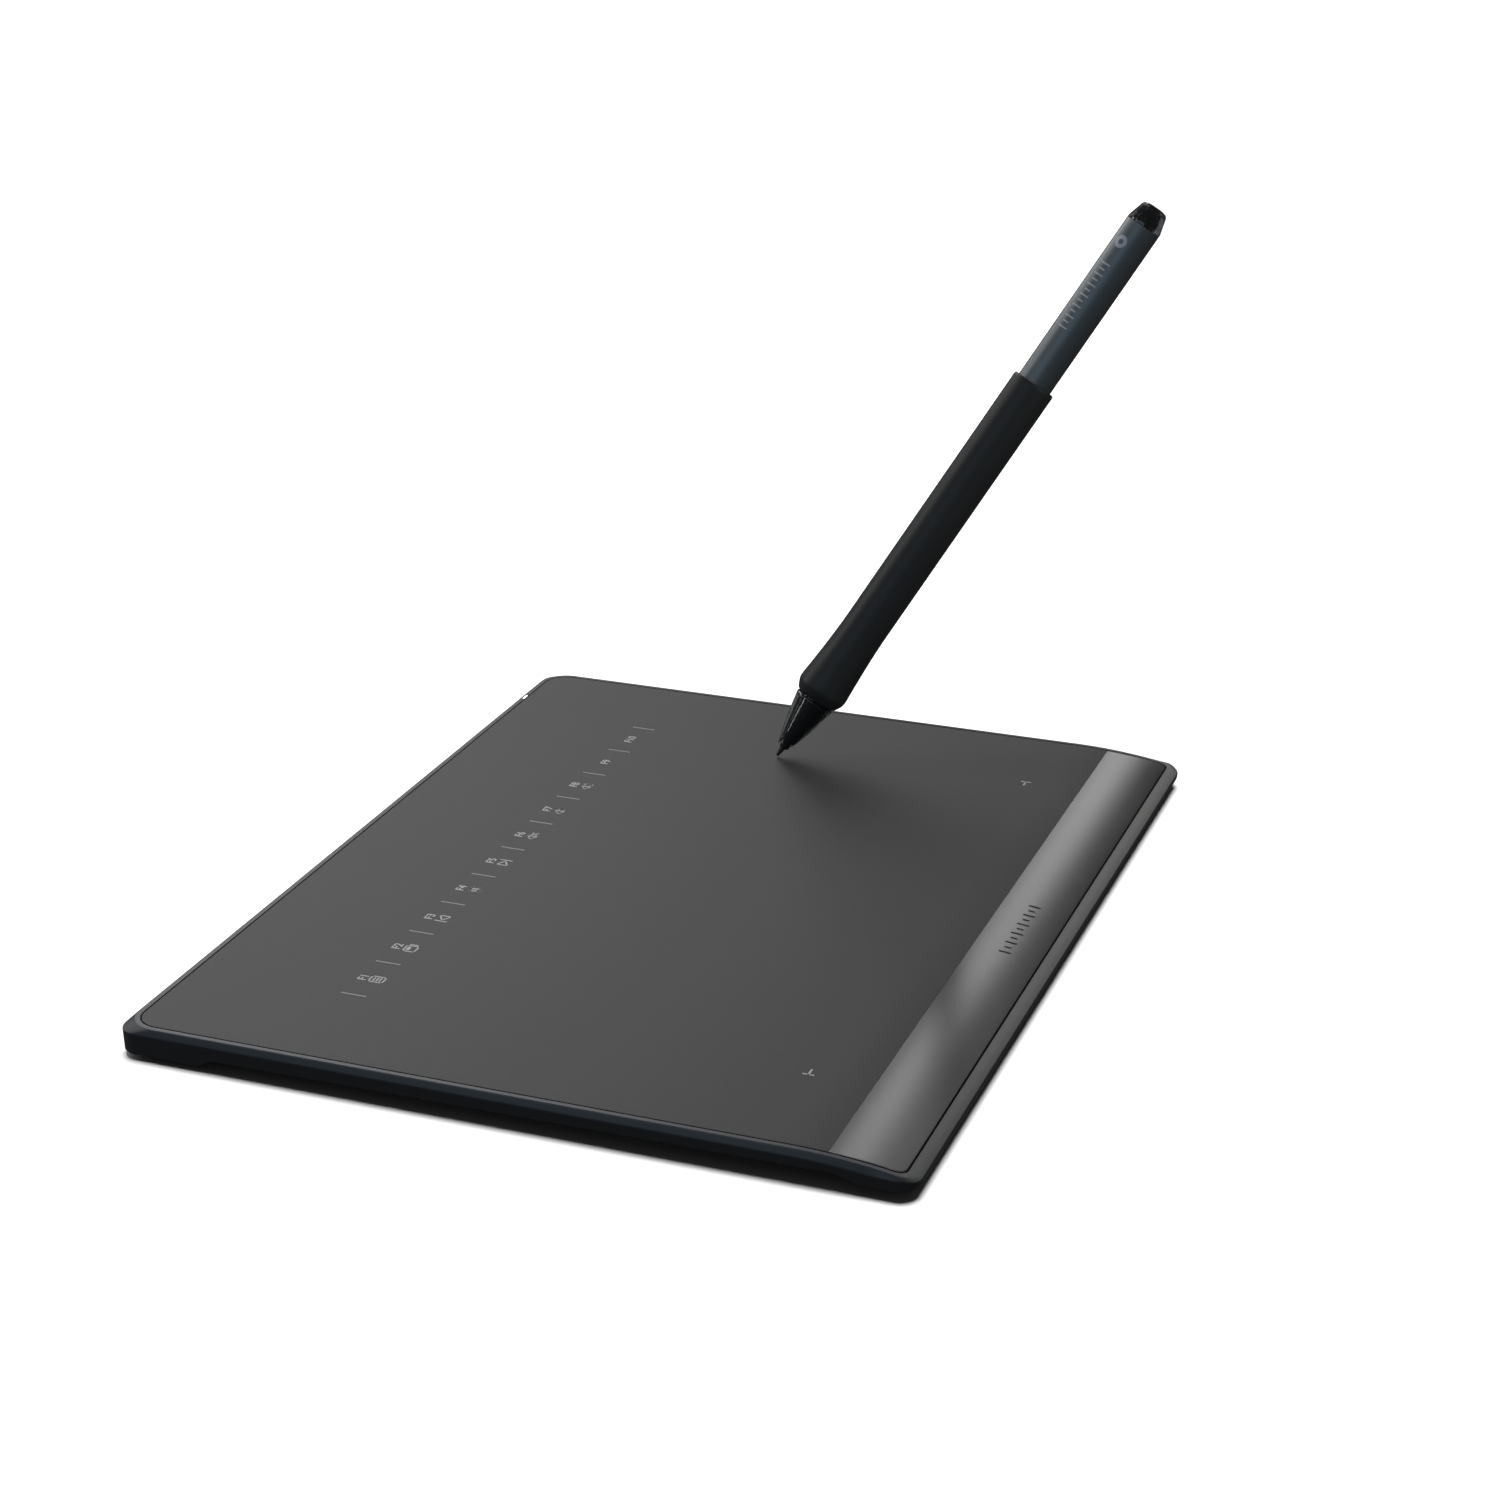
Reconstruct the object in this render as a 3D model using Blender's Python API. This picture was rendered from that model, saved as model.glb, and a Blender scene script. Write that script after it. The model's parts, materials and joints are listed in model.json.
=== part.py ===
"""Pen drawing tablet with its cordless pen, modelled as separate parts.

Run with: blender --background --python part.py, or from Blender's text editor.
Units are metres and +Z is up. The user sits on the -Y side, and +X is to the user's right.
The tablet lies on Z = 0, and the pen stands on the drawing surface, leaning to the user's right.
The origin is under the middle of the box that holds the tablet and the pen.
"""

import math

import bmesh
import bpy
from mathutils import Matrix, Vector

MM = 0.001

# Driving dimensions of the tablet
HALF_WIDTH = 122.2 * MM
HALF_DEPTH = 95.7 * MM
TOP = 8.0 * MM
BACK_RADIUS = 5.0 * MM
TOP_BACK_RADIUS = 9.0 * MM  # the flat top turns the back corners wider than the wall does
FRONT_RADIUS = 5.0 * MM
SMALL_RADIUS = 1.0 * MM
FALL_START = -66.0 * MM  # the top is flat behind this line and falls along an arc in front of it
FALL_RADIUS = 152.5 * MM
FRONT_SPREAD = 1.2  # insets are this much larger along the user's edge

# Bezel: hairline seam, flat strip, chamfer and side wall
SEAM_INSET = 2.8 * MM
SEAM_GAP = 0.3 * MM
STRIP_INSET = 1.3 * MM
CHAMFER_DROP = 1.35 * MM
FRONT_CHAMFER_DROP = 0.15 * MM
CHAMFER_FADE = -84.0 * MM
RIM_START = -92.4 * MM
RIM_SLOPE = 0.2
EDGE_ROUND = 0.18 * MM
WALL = 1.5 * MM
WALL_DRAFT = 0.2 * MM
POCKET_DEPTH = 1.1 * MM
DECK = 1.2 * MM

# Lower edge of the side wall: two feet with an arch between them for the fingers
BACK_FOOT_EDGE = 1.4 * MM
FRONT_FOOT_EDGE = 2.6 * MM
ARCH_BACK = 3.3 * MM
ARCH_FRONT = 4.35 * MM
BACK_RAMP = (75.8 * MM, 70.0 * MM)
FRONT_RAMP = (-84.0 * MM, -76.5 * MM)

# Sheets that fill the seam
SHEET = 0.8 * MM
BAND_LINE = -75.3 * MM  # the satin band starts here
BUTT_GAP = 0.12 * MM
SHEET_EDGE = 0.1 * MM

# Bottom cover
COVER_UNDERSIDE = 1.0 * MM
COVER_FLOOR = 1.9 * MM
COVER_INSET = 1.85 * MM
LIP = 1.2 * MM
LIP_RISE = 1.6 * MM
FLAT_INSET = 3.6 * MM
SCOOP_REACH = 7.5 * MM

# Small parts inside and under the tablet
GAP = 0.3 * MM
FOOT_SIZE = (42.0 * MM, 8.0 * MM)
FOOT_PLACES = {
    "foot_back_left": (-86.0 * MM, 84.0 * MM),
    "foot_back_right": (86.0 * MM, 84.0 * MM),
    "foot_front_left": (-86.0 * MM, -86.0 * MM),
    "foot_front_right": (86.0 * MM, -86.0 * MM),
}
FOOT_HEIGHT = 1.15 * MM
FOOT_RECESS_TOP = 1.35 * MM
SCREW_PLACES = [(x * MM, y * MM) for y, x in ((84, 112), (4, 104), (-78, 104)) for x in (-x, x)]
BOSS_RADIUS = 2.2 * MM
BOSS_END = 3.2 * MM
BOSS_HOLE = 1.2 * MM
LABEL_RECESS = (64.0 * MM, 34.0 * MM)
LABEL_DEPTH = 0.25 * MM
USB_X = 80.0 * MM
USB_Z = 3.9 * MM
USB_SIZE = (8.94 * MM, 3.16 * MM)
USB_LENGTH = 7.35 * MM
USB_MOUTH = HALF_DEPTH - 0.55 * MM
USB_WALL = 0.3 * MM
USB_CLEARANCE = 0.35 * MM
LED_PLACE = (99.9 * MM, 93.6 * MM)
LED_WINDOW = (2.8 * MM, 0.7 * MM)

# Boards, as (left, right), (front, back) and (bottom, top)
SENSOR_BOARD = ((-98 * MM, 98 * MM), (-70 * MM, 60 * MM), (4.1 * MM, 4.9 * MM))
SHIELD_PLATE = ((-96 * MM, 96 * MM), (-68 * MM, 58 * MM), (3.4 * MM, 3.8 * MM))
MAIN_BOARD = ((-20 * MM, 105 * MM), (66 * MM, 93 * MM), (3.6 * MM, 4.6 * MM))
BOARD_TOP = MAIN_BOARD[2][1]
CHIP_HEIGHT = 0.65 * MM
CHIPS = {  # x, y, width and depth in mm
    "controller_chip": (52, 78, 9.0, 9.0),
    "multiplexer_chip_left": (-8, 80, 5.0, 6.4),
    "multiplexer_chip_right": (26, 80, 5.0, 6.4),
}
RIBBON_SPAN = (2 * MM, 18 * MM)

# Pen, with S the distance from the tip along its axis
PEN_TIP = Vector((82.2 * MM, 9.2 * MM, TOP + 0.4 * MM))
PEN_ELEVATION = math.radians(54.7)
PEN_AZIMUTH = math.radians(-55.1)
PEN_ROLL = math.radians(65.0)
NIB_RADIUS = 0.84 * MM
BARREL_RADIUS = 5.09 * MM
BARREL_BORE = 4.25 * MM
BARREL_ENDS = (19.2 * MM, 174.0 * MM)
SLEEVE_BORE = 5.39 * MM
BUTTON_SIZE = (12.6 * MM, 4.0 * MM)
BUTTON_PLACES = {"side_button_lower": 49.3 * MM, "side_button_upper": 65.1 * MM}
BUTTON_TOP = 6.9 * MM
BUTTON_BOTTOM = 3.1 * MM
SWITCH_SIZE = (2.6 * MM, 3.4 * MM)
SWITCH_SPAN = (1.3 * MM, 2.3 * MM)
CHASSIS_RADIUS = 3.9 * MM
CHASSIS_ENDS = (38.6 * MM, 132 * MM)
PEN_BOARD = ((0.2 * MM, 1.0 * MM), (-3.2 * MM, 3.2 * MM), (38.6 * MM, 128 * MM))

# Facets
CORNER_STEPS = 8
PEN_STEPS = 32
INNER_STEPS = 20
SCREW_STEPS = 12

SIDE_STATIONS = [
    y * MM
    for y in (82, 76, 74.5, 73, 71.5, 70, 50, 33, 18, -10, -38, -66)
    + (-69.5, -73, -76.5, -79, -81.5, -84, -86, -88)
]


# ---------------------------------------------------------------- helpers


def clear_scene():
    for obj in list(bpy.data.objects):
        bpy.data.objects.remove(obj, do_unlink=True)


def material(name, color, roughness, metallic=0.0, alpha=1.0):
    made = bpy.data.materials.new(name)
    made.use_nodes = True
    shader = made.node_tree.nodes["Principled BSDF"]
    shader.inputs["Base Color"].default_value = (*color, 1.0)
    shader.inputs["Roughness"].default_value = roughness
    shader.inputs["Metallic"].default_value = metallic
    shader.inputs["Alpha"].default_value = alpha
    made.diffuse_color = (*color, alpha)
    return made


def finish_mesh(bm, name, turn=None):
    """Turns the bmesh into a smooth shaded mesh with its sharp edges marked."""
    if turn is not None:
        bmesh.ops.transform(bm, matrix=turn, verts=bm.verts)
    bmesh.ops.recalc_face_normals(bm, faces=bm.faces)
    mesh = bpy.data.meshes.new(name)
    bm.to_mesh(mesh)
    bm.free()
    mesh.shade_smooth()
    mesh.set_sharp_from_angle(angle=math.radians(28))
    return mesh


def place(name, mesh, parent, finish, at=(0, 0, 0)):
    obj = bpy.data.objects.new(name, mesh)
    bpy.context.scene.collection.objects.link(obj)
    obj.parent = parent
    obj.location = at
    if finish is not None:
        mesh.materials.clear()
        mesh.materials.append(finish)
    return obj


def empty(name, parent=None, at=(0, 0, 0)):
    obj = bpy.data.objects.new(name, None)
    bpy.context.scene.collection.objects.link(obj)
    obj.parent = parent
    obj.location = at
    return obj


def helper(name, meshes, parent, at=(0, 0, 0)):
    """One hidden object that holds the given closed meshes, for a Boolean."""
    bm = bmesh.new()
    for mesh in meshes:
        bm.from_mesh(mesh)
    joined = bpy.data.meshes.new(name)
    bm.to_mesh(joined)
    bm.free()
    obj = place(name, joined, parent, None, at)
    obj.hide_render = True
    obj.display_type = "WIRE"
    return obj


def boolean(obj, other, operation):
    modifier = obj.modifiers.new(operation.lower(), "BOOLEAN")
    modifier.operation = operation
    modifier.solver = "EXACT"
    modifier.object = other


def rounded_rectangle(width, depth, radius, steps=4):
    """Outline about the origin, anticlockwise, with an arc at each corner."""
    points = []
    for quarter in range(4):
        sx, sy = ((1, 1), (-1, 1), (-1, -1), (1, -1))[quarter]
        for step in range(steps + 1):
            a = math.radians(90 * (quarter + step / steps))
            x = sx * (width / 2 - radius) + radius * math.cos(a)
            y = sy * (depth / 2 - radius) + radius * math.sin(a)
            points.append((x, y))
    return points


def prism(name, outline, low, high, top_round=0.0, bottom_round=0.0, turn=None):
    """The outline raised from low to high, with its end edges rounded where asked."""
    bm = bmesh.new()
    base = bm.faces.new([bm.verts.new((x, y, low)) for x, y in outline])
    raised = bmesh.ops.extrude_face_region(bm, geom=[base])
    verts = [v for v in raised["geom"] if isinstance(v, bmesh.types.BMVert)]
    bmesh.ops.translate(bm, vec=(0, 0, high - low), verts=verts)
    middle = (low + high) / 2
    for width, wanted in ((top_round, True), (bottom_round, False)):
        if width > 0:
            edges = [
                e
                for e in bm.edges
                if all((v.co.z > middle) == wanted for v in e.verts)
            ]
            bmesh.ops.bevel(
                bm, geom=edges, offset=width, segments=2, profile=0.5, affect="EDGES"
            )
    return finish_mesh(bm, name, turn)


def box(name, across, along, height):
    """A plain block from its (low, high) limits in X, Y and Z."""
    (left, right), (front, back) = across, along
    outline = [(left, front), (right, front), (right, back), (left, back)]
    return prism(name, outline, *height)


def plate(name, across, along, height, radius):
    """A flat plate with rounded corners, from its (low, high) limits in X, Y and Z."""
    outline = rounded_rectangle(across[1] - across[0], along[1] - along[0], radius, 2)
    middle = Matrix.Translation((sum(across) / 2, sum(along) / 2, 0))
    return prism(name, outline, *height, turn=middle)


def disc(name, place_xy, radius, low, high, steps=INNER_STEPS, top_round=0.0, bottom_round=0.0):
    outline = [
        (
            place_xy[0] + radius * math.cos(math.tau * i / steps),
            place_xy[1] + radius * math.sin(math.tau * i / steps),
        )
        for i in range(steps)
    ]
    return prism(name, outline, low, high, top_round, bottom_round)


def turned(name, profile, steps):
    """The profile, as (radius, s) in mm round one closed loop or from axis to axis, spun about Z."""
    bm = bmesh.new()
    verts = [bm.verts.new((r * MM, 0, s * MM)) for r, s in profile]
    closing = list(zip(verts, verts[1:]))
    if profile[0][0] > 0 or profile[-1][0] > 0:
        closing.append((verts[-1], verts[0]))
    edges = [bm.edges.new(pair) for pair in closing]
    bmesh.ops.spin(
        bm,
        geom=verts + edges,
        cent=(0, 0, 0),
        axis=(0, 0, 1),
        angle=math.tau,
        steps=steps,
        use_merge=True,
    )
    bmesh.ops.remove_doubles(bm, verts=bm.verts, dist=1e-7)
    return finish_mesh(bm, name)


def loft(name, rings):
    """A closed body through rings of right-hand points, mirrored to the left and capped by strips."""
    bm = bmesh.new()
    rows = [
        (
            [bm.verts.new(p) for p in ring],
            [bm.verts.new((-x, y, z)) for x, y, z in ring],
        )
        for ring in rings
    ]
    count = len(rings[0])
    for right, left in (rows[0], rows[-1]):
        for i in range(count - 1):
            bm.faces.new((right[i], right[i + 1], left[i + 1], left[i]))
    for (right_a, left_a), (right_b, left_b) in zip(rows, rows[1:]):
        for i in range(count - 1):
            bm.faces.new((right_a[i], right_a[i + 1], right_b[i + 1], right_b[i]))
            bm.faces.new((left_a[i], left_b[i], left_b[i + 1], left_a[i + 1]))
        bm.faces.new((right_a[0], right_b[0], left_b[0], left_a[0]))
        bm.faces.new((right_a[-1], left_a[-1], left_b[-1], right_b[-1]))
    return finish_mesh(bm, name)


# ---------------------------------------------------------------- tablet form


def smooth_step(low, high, value):
    """0 before low, 1 after high and an S-curve between; low may be above high."""
    t = min(max((value - low) / (high - low), 0.0), 1.0)
    return t * t * (3 - 2 * t)


def top_z(y):
    """Height of the top at depth y: flat, then an arc towards the user, and a steeper rim."""
    ahead = max(FALL_START - y, 0.0)
    rim = RIM_SLOPE * max(RIM_START - y, 0.0)
    return TOP - FALL_RADIUS + math.sqrt(FALL_RADIUS**2 - ahead**2) - rim


def scoop(y):
    """1 along the finger arch of the sides, 0 at the front and back feet."""
    return smooth_step(*BACK_RAMP, y) * smooth_step(*FRONT_RAMP, y)


def wall_edge_z(y):
    """Height of the side wall's lower edge."""
    along = (BACK_RAMP[1] - y) / (BACK_RAMP[1] - FRONT_RAMP[1])
    arch = ARCH_BACK + (ARCH_FRONT - ARCH_BACK) * min(max(along, 0.0), 1.0)
    foot = BACK_FOOT_EDGE if y > 0 else FRONT_FOOT_EDGE
    return foot + (arch - foot) * scoop(y)


def chamfer_z(y):
    """Height of the chamfer's lower edge: the chamfer flattens into the rim at the user's edge."""
    front = smooth_step(CHAMFER_FADE, -HALF_DEPTH, y)
    return top_z(y) - CHAMFER_DROP + (CHAMFER_DROP - FRONT_CHAMFER_DROP) * front


def deck_z(y):
    """Height of the underside of the deck that carries the sheets."""
    return top_z(y) - POCKET_DEPTH - DECK


def lip_z(y):
    """Height of the bottom cover's lip, inside the wall and clear of the deck."""
    return min(wall_edge_z(y) + LIP_RISE, deck_z(y) - GAP)


def quarter(steps):
    return [math.radians(90 * i / steps) for i in range(steps + 1)]


def half_outline(inset, back_radius, back_cut=None, front_cut=None):
    """Right half of the housing's outline, back to front, moved in by inset and ended at any cut."""
    width, depth = HALF_WIDTH - inset, HALF_DEPTH - inset
    front_depth = HALF_DEPTH - inset * FRONT_SPREAD
    back = max(back_radius - inset, SMALL_RADIUS)
    front = max(FRONT_RADIUS - inset, SMALL_RADIUS)
    if back_cut is None:
        points = [
            (width - back + back * math.sin(a), depth - back + back * math.cos(a))
            for a in quarter(CORNER_STEPS)
        ]
    else:
        points = [(width, back_cut)]
    for y in SIDE_STATIONS:
        if (back_cut is None or y < back_cut - MM) and (front_cut is None or y > front_cut + MM):
            points.append((width, y))
    if front_cut is None:
        points += [
            (width - front + front * math.cos(a), front - front_depth - front * math.sin(a))
            for a in quarter(CORNER_STEPS)
        ]
    else:
        points.append((width, front_cut))
    return points


def ring(inset, height, drop=0.0, pull=0.0):
    """Wall outline with z = height(y) - drop; pull draws the sides further in along the finger arch."""
    return [
        (x - pull * scoop(y), y, height(y) - drop) for x, y in half_outline(inset, BACK_RADIUS)
    ]


def top_ring(inset, drop=0.0, cuts=(None, None)):
    """Outline of the flat top, drop below its surface."""
    return [(x, y, top_z(y) - drop) for x, y in half_outline(inset, TOP_BACK_RADIUS, *cuts)]


# ---------------------------------------------------------------- tablet parts


def top_case(parent, finish):
    """Bezel, deck and side wall in one moulding, open below, with six screw bosses under the deck."""
    seam = SEAM_INSET - SEAM_GAP / 2
    rings = [
        top_ring(seam, POCKET_DEPTH),
        top_ring(seam, SHEET_EDGE),
        top_ring(seam - SHEET_EDGE),
        top_ring(STRIP_INSET + EDGE_ROUND),
        top_ring(STRIP_INSET, EDGE_ROUND * 0.3),
        top_ring(STRIP_INSET - EDGE_ROUND, EDGE_ROUND * 0.9),
        ring(EDGE_ROUND, chamfer_z, -EDGE_ROUND),
        ring(EDGE_ROUND * 0.3, chamfer_z),
        ring(0, chamfer_z, EDGE_ROUND * 1.5),
        ring(WALL_DRAFT, wall_edge_z, -EDGE_ROUND * 1.5),
        ring(WALL_DRAFT + EDGE_ROUND, wall_edge_z),
        ring(WALL, wall_edge_z),
        ring(WALL, deck_z),
    ]
    case = place("top_case", loft("top_case", rings), parent, finish)
    bosses = [
        disc("boss", at, BOSS_RADIUS, BOSS_END, deck_z(at[1]) + DECK / 2) for at in SCREW_PLACES
    ]
    boolean(case, helper("case_bosses", bosses, parent), "UNION")
    cutters = [
        disc("boss_hole", at, BOSS_HOLE, BOSS_END - MM, deck_z(at[1]) - 0.2 * MM)
        for at in SCREW_PLACES
    ]
    cutters.append(usb_opening(USB_CLEARANCE, HALF_DEPTH - 2 * WALL, HALF_DEPTH + MM))
    window = rounded_rectangle(LED_WINDOW[0] + 0.2 * MM, LED_WINDOW[1] + 0.2 * MM, 0.4 * MM)
    at_led = Matrix.Translation((*LED_PLACE, 0))
    cutters.append(prism("led_slot", window, TOP - 3 * MM, TOP + MM, turn=at_led))
    boolean(case, helper("case_openings", cutters, parent), "DIFFERENCE")


def usb_opening(margin, near, far):
    """Stadium shaped bar along Y, larger than the socket by margin all round."""
    width, height = USB_SIZE[0] + 2 * margin, USB_SIZE[1] + 2 * margin
    outline = rounded_rectangle(width, height, height / 2 - 0.01 * MM, 6)
    upright = Matrix.Translation((USB_X, 0, USB_Z)) @ Matrix.Rotation(math.pi / 2, 4, "X")
    return prism("usb_bar", outline, -far, -near, turn=upright)


def sheet(name, parent, finish, cuts):
    """One of the two sheets that fill the seam, with a fine rounded top edge."""
    inset = SEAM_INSET + SEAM_GAP / 2
    back, front = cuts
    inner = (
        None if back is None else back - SHEET_EDGE,
        None if front is None else front + SHEET_EDGE,
    )
    rings = [
        top_ring(inset, SHEET, cuts),
        top_ring(inset, SHEET_EDGE, cuts),
        top_ring(inset + SHEET_EDGE, 0.0, inner),
    ]
    place(name, loft(name, rings), parent, finish)


def bottom_cover(parent, finish):
    """Shallow tray that slopes in under the finger arches, with foot and label recesses and screw wells."""

    def flat(_):
        return COVER_UNDERSIDE

    def floor(_):
        return COVER_FLOOR

    rings = [
        ring(FLAT_INSET + 1.4 * MM, floor, pull=SCOOP_REACH),
        ring(COVER_INSET + LIP, lip_z),
        ring(COVER_INSET, lip_z),
        ring(COVER_INSET, wall_edge_z, 0.1 * MM),
        ring(COVER_INSET + 0.4 * MM, wall_edge_z, 0.3 * MM),
        ring(FLAT_INSET, flat, pull=SCOOP_REACH),
    ]
    cover = place("bottom_cover", loft("bottom_cover", rings), parent, finish)
    wells = [disc("well", at, 3.4 * MM, 1.5 * MM, 2.9 * MM) for at in SCREW_PLACES]
    boolean(cover, helper("cover_wells", wells, parent), "UNION")
    cutters = [usb_opening(USB_CLEARANCE, HALF_DEPTH - 10 * MM, HALF_DEPTH + MM)]
    well_bore = [(0, 0.5), (2.1, 0.5), (2.1, 2.0), (1.2, 2.0), (1.2, 3.5), (0, 3.5)]
    for at in SCREW_PLACES:
        stepped = turned("counterbore", well_bore, INNER_STEPS)
        stepped.transform(Matrix.Translation((*at, 0)))
        cutters.append(stepped)
    for at in FOOT_PLACES.values():
        outline = rounded_rectangle(FOOT_SIZE[0] + 2 * GAP, FOOT_SIZE[1] + 2 * GAP, 3.3 * MM)
        turn = Matrix.Translation((*at, 0))
        cutters.append(prism("foot_recess", outline, 0.5 * MM, FOOT_RECESS_TOP, turn=turn))
    outline = rounded_rectangle(*LABEL_RECESS, 2 * MM, 2)
    cutters.append(prism("label_recess", outline, 0.5 * MM, COVER_UNDERSIDE + LABEL_DEPTH))
    boolean(cover, helper("cover_openings", cutters, parent), "DIFFERENCE")


def rubber_feet(parent, finish):
    outline = rounded_rectangle(*FOOT_SIZE, 3.0 * MM)
    shape = prism("rubber_foot", outline, 0.0, FOOT_HEIGHT, bottom_round=0.25 * MM)
    for name, at in FOOT_PLACES.items():
        place(name, shape, parent, finish, (*at, 0))


def case_screws(parent, finish):
    """Pan head screws with a cross recess, driven up into the bosses."""
    head = [(0, 1.15), (1.5, 1.15), (1.8, 1.4), (1.8, 1.85)]
    shank = [(0.9, 1.85), (0.9, 4.6), (0.5, 4.9), (0, 4.9)]
    shape = turned("case_screw", head + shank, SCREW_STEPS)
    long, thin = (-1.0 * MM, 1.0 * MM), (-0.22 * MM, 0.22 * MM)
    height = (0.8 * MM, 1.5 * MM)
    cross = [box("slot_across", long, thin, height), box("slot_along", thin, long, height)]
    for number, at in enumerate(SCREW_PLACES, 1):
        screw = place(f"case_screw_{number}", shape, parent, finish, (*at, 0))
        for arm in cross:
            cutter = helper(f"{arm.name}_{number}", [arm], parent, (*at, 0))
            boolean(screw, cutter, "DIFFERENCE")


def sensor_stack(parent, finishes):
    """Antenna board and its magnetic shield, under the deck."""
    board = plate("sensor_board", *SENSOR_BOARD, 2 * MM)
    place("sensor_board", board, parent, finishes["board"])
    shield = plate("shield_plate", *SHIELD_PLATE, 2 * MM)
    place("shield_plate", shield, parent, finishes["steel"])


def main_board(parent, finishes):
    """Controller board along the back, cut out round the socket, with its chips and ribbon."""
    board = place("main_board", box("main_board", *MAIN_BOARD), parent, finishes["board"])
    half, front = USB_SIZE[0] / 2 + 1.4 * GAP, USB_MOUTH - USB_LENGTH - GAP
    notch = box("board_notch", (USB_X - half, USB_X + half), (front, HALF_DEPTH), (2 * MM, TOP))
    boolean(board, helper("board_notch", [notch], parent), "DIFFERENCE")
    low = BOARD_TOP + GAP
    for name, (x, y, width, depth) in CHIPS.items():
        outline = rounded_rectangle(width * MM, depth * MM, 0.3 * MM, 1)
        mesh = prism(name, outline, low, low + CHIP_HEIGHT, top_round=0.15 * MM)
        place(name, mesh, parent, finishes["chip"], (x * MM, y * MM, 0))
    sensor_ribbon(parent, finishes["ribbon"])


def sensor_ribbon(parent, finish):
    """Flat film from the antenna board down to the main board."""
    upright = Matrix.Rotation(math.pi / 2, 4, "Y") @ Matrix.Rotation(math.pi / 2, 4, "Z")
    lower = [(54, 5.2), (59, 5.2), (62, 5.12), (65, 4.98), (68, 4.9), (73, 4.9)]
    outline = [(y * MM, z * MM) for y, z in lower]
    outline += [(y * MM, (z + 0.2) * MM) for y, z in reversed(lower)]
    place("sensor_ribbon", prism("sensor_ribbon", outline, *RIBBON_SPAN, turn=upright), parent, finish)


def usb_socket(parent, finishes):
    """Mid-mounted USB-C shell, closed at its inner end, with its contact tongue."""
    inner_end = USB_MOUTH - USB_LENGTH
    shell = place("usb_c_shell", usb_opening(0, inner_end, USB_MOUTH), parent, finishes["steel"])
    hollow = usb_opening(-USB_WALL, inner_end + 2 * USB_WALL, USB_MOUTH + MM)
    boolean(shell, helper("usb_hollow", [hollow], parent), "DIFFERENCE")
    across = (USB_X - 3.1 * MM, USB_X + 3.1 * MM)
    along = (inner_end + 2 * USB_WALL + 0.1 * MM, USB_MOUTH - MM)
    tongue = box("usb_c_tongue", across, along, (USB_Z - 0.35 * MM, USB_Z + 0.35 * MM))
    place("usb_c_tongue", tongue, parent, finishes["chip"])


def status_light(parent, finishes):
    x, y = LED_PLACE
    window = rounded_rectangle(*LED_WINDOW, 0.3 * MM)
    pipe = prism("led_light_pipe", window, TOP - 2.05 * MM, TOP)
    place("led_light_pipe", pipe, parent, finishes["light"], (x, y, 0))
    height = (BOARD_TOP + GAP, BOARD_TOP + MM)
    chip = box("status_led", (-0.8 * MM, 0.8 * MM), (-0.4 * MM, 0.4 * MM), height)
    place("status_led", chip, parent, finishes["light"], (x, y - 0.7 * MM, 0))


# ---------------------------------------------------------------- pen parts


def rounded_corner(corner, before, after, radius, steps=3):
    """Points that replace a profile corner by a curve towards its two neighbours."""
    corner, before, after = Vector(corner), Vector(before), Vector(after)
    start = corner + (before - corner).normalized() * radius
    end = corner + (after - corner).normalized() * radius
    points = []
    for i in range(steps + 1):
        t = i / steps
        points.append(tuple(start * (1 - t) ** 2 + corner * 2 * t * (1 - t) + end * t * t))
    return points


def tail_profile():
    """Outside of the tail cap, from the barrel's end to the axis."""
    taper = [(4.9, 174.3), (5.04, 174.45), (5.04, 174.8)]
    crown = rounded_corner((3.75, 179.6), (4.45, 177.0), (2.4, 180.1), 0.9, 4)
    return taper + crown + [(2.4, 180.1), (0, 180.2)]


def nib(parent, finish):
    tip = [(0.5 * math.sin(a), 0.5 - 0.5 * math.cos(a)) for a in quarter(4)]
    front = NIB_RADIUS / MM
    shank = [(front, 2.5), (front, 6.0), (0.7, 6.4), (0.7, 30.4), (0, 30.6)]
    place("pen_nib", turned("pen_nib", tip + shank, INNER_STEPS), parent, finish)


def nib_holder(parent, finish):
    """Cup that grips the nib's rear end and presses on the sensor."""
    profile = [(0, 33.2), (1.2, 33.2), (1.6, 32.6), (1.6, 27.0), (1.0, 27.0), (1.0, 31.0), (0, 31.0)]
    place("nib_holder", turned("nib_holder", profile, INNER_STEPS), parent, finish)


def nose_cone(parent, finish):
    """Clear smoked cone with a spigot that enters the barrel."""
    outside = [(1.3, 2.8), (1.75, 3.15), (2.0, 3.7), (2.3, 4.8), (3.2, 7.8), (4.04, 10.8)]
    outside += [(4.9, 14.6), (5.62, 18.2), (5.68, 18.55), (5.5, 18.85), (3.95, 18.85), (3.95, 25.0)]
    inside = [(3.4, 25.0), (3.4, 19.4), (4.75, 18.0), (3.3, 10.8), (1.65, 5.0), (1.14, 4.4), (1.14, 2.8)]
    place("nose_cone", turned("nose_cone", outside + inside, PEN_STEPS), parent, finish)


def inner_cone(parent, finish):
    """Dark guide for the nib, seen through the nose cone."""
    outside = [(1.5, 5.6), (1.9, 6.9), (1.9, 7.4), (2.3, 7.7), (2.95, 10.8), (4.2, 17.0), (4.2, 17.8)]
    inside = [(2.15, 17.8), (2.15, 10.5), (1.15, 9.5), (1.15, 5.6)]
    place("inner_cone", turned("inner_cone", outside + inside, INNER_STEPS), parent, finish)


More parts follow.
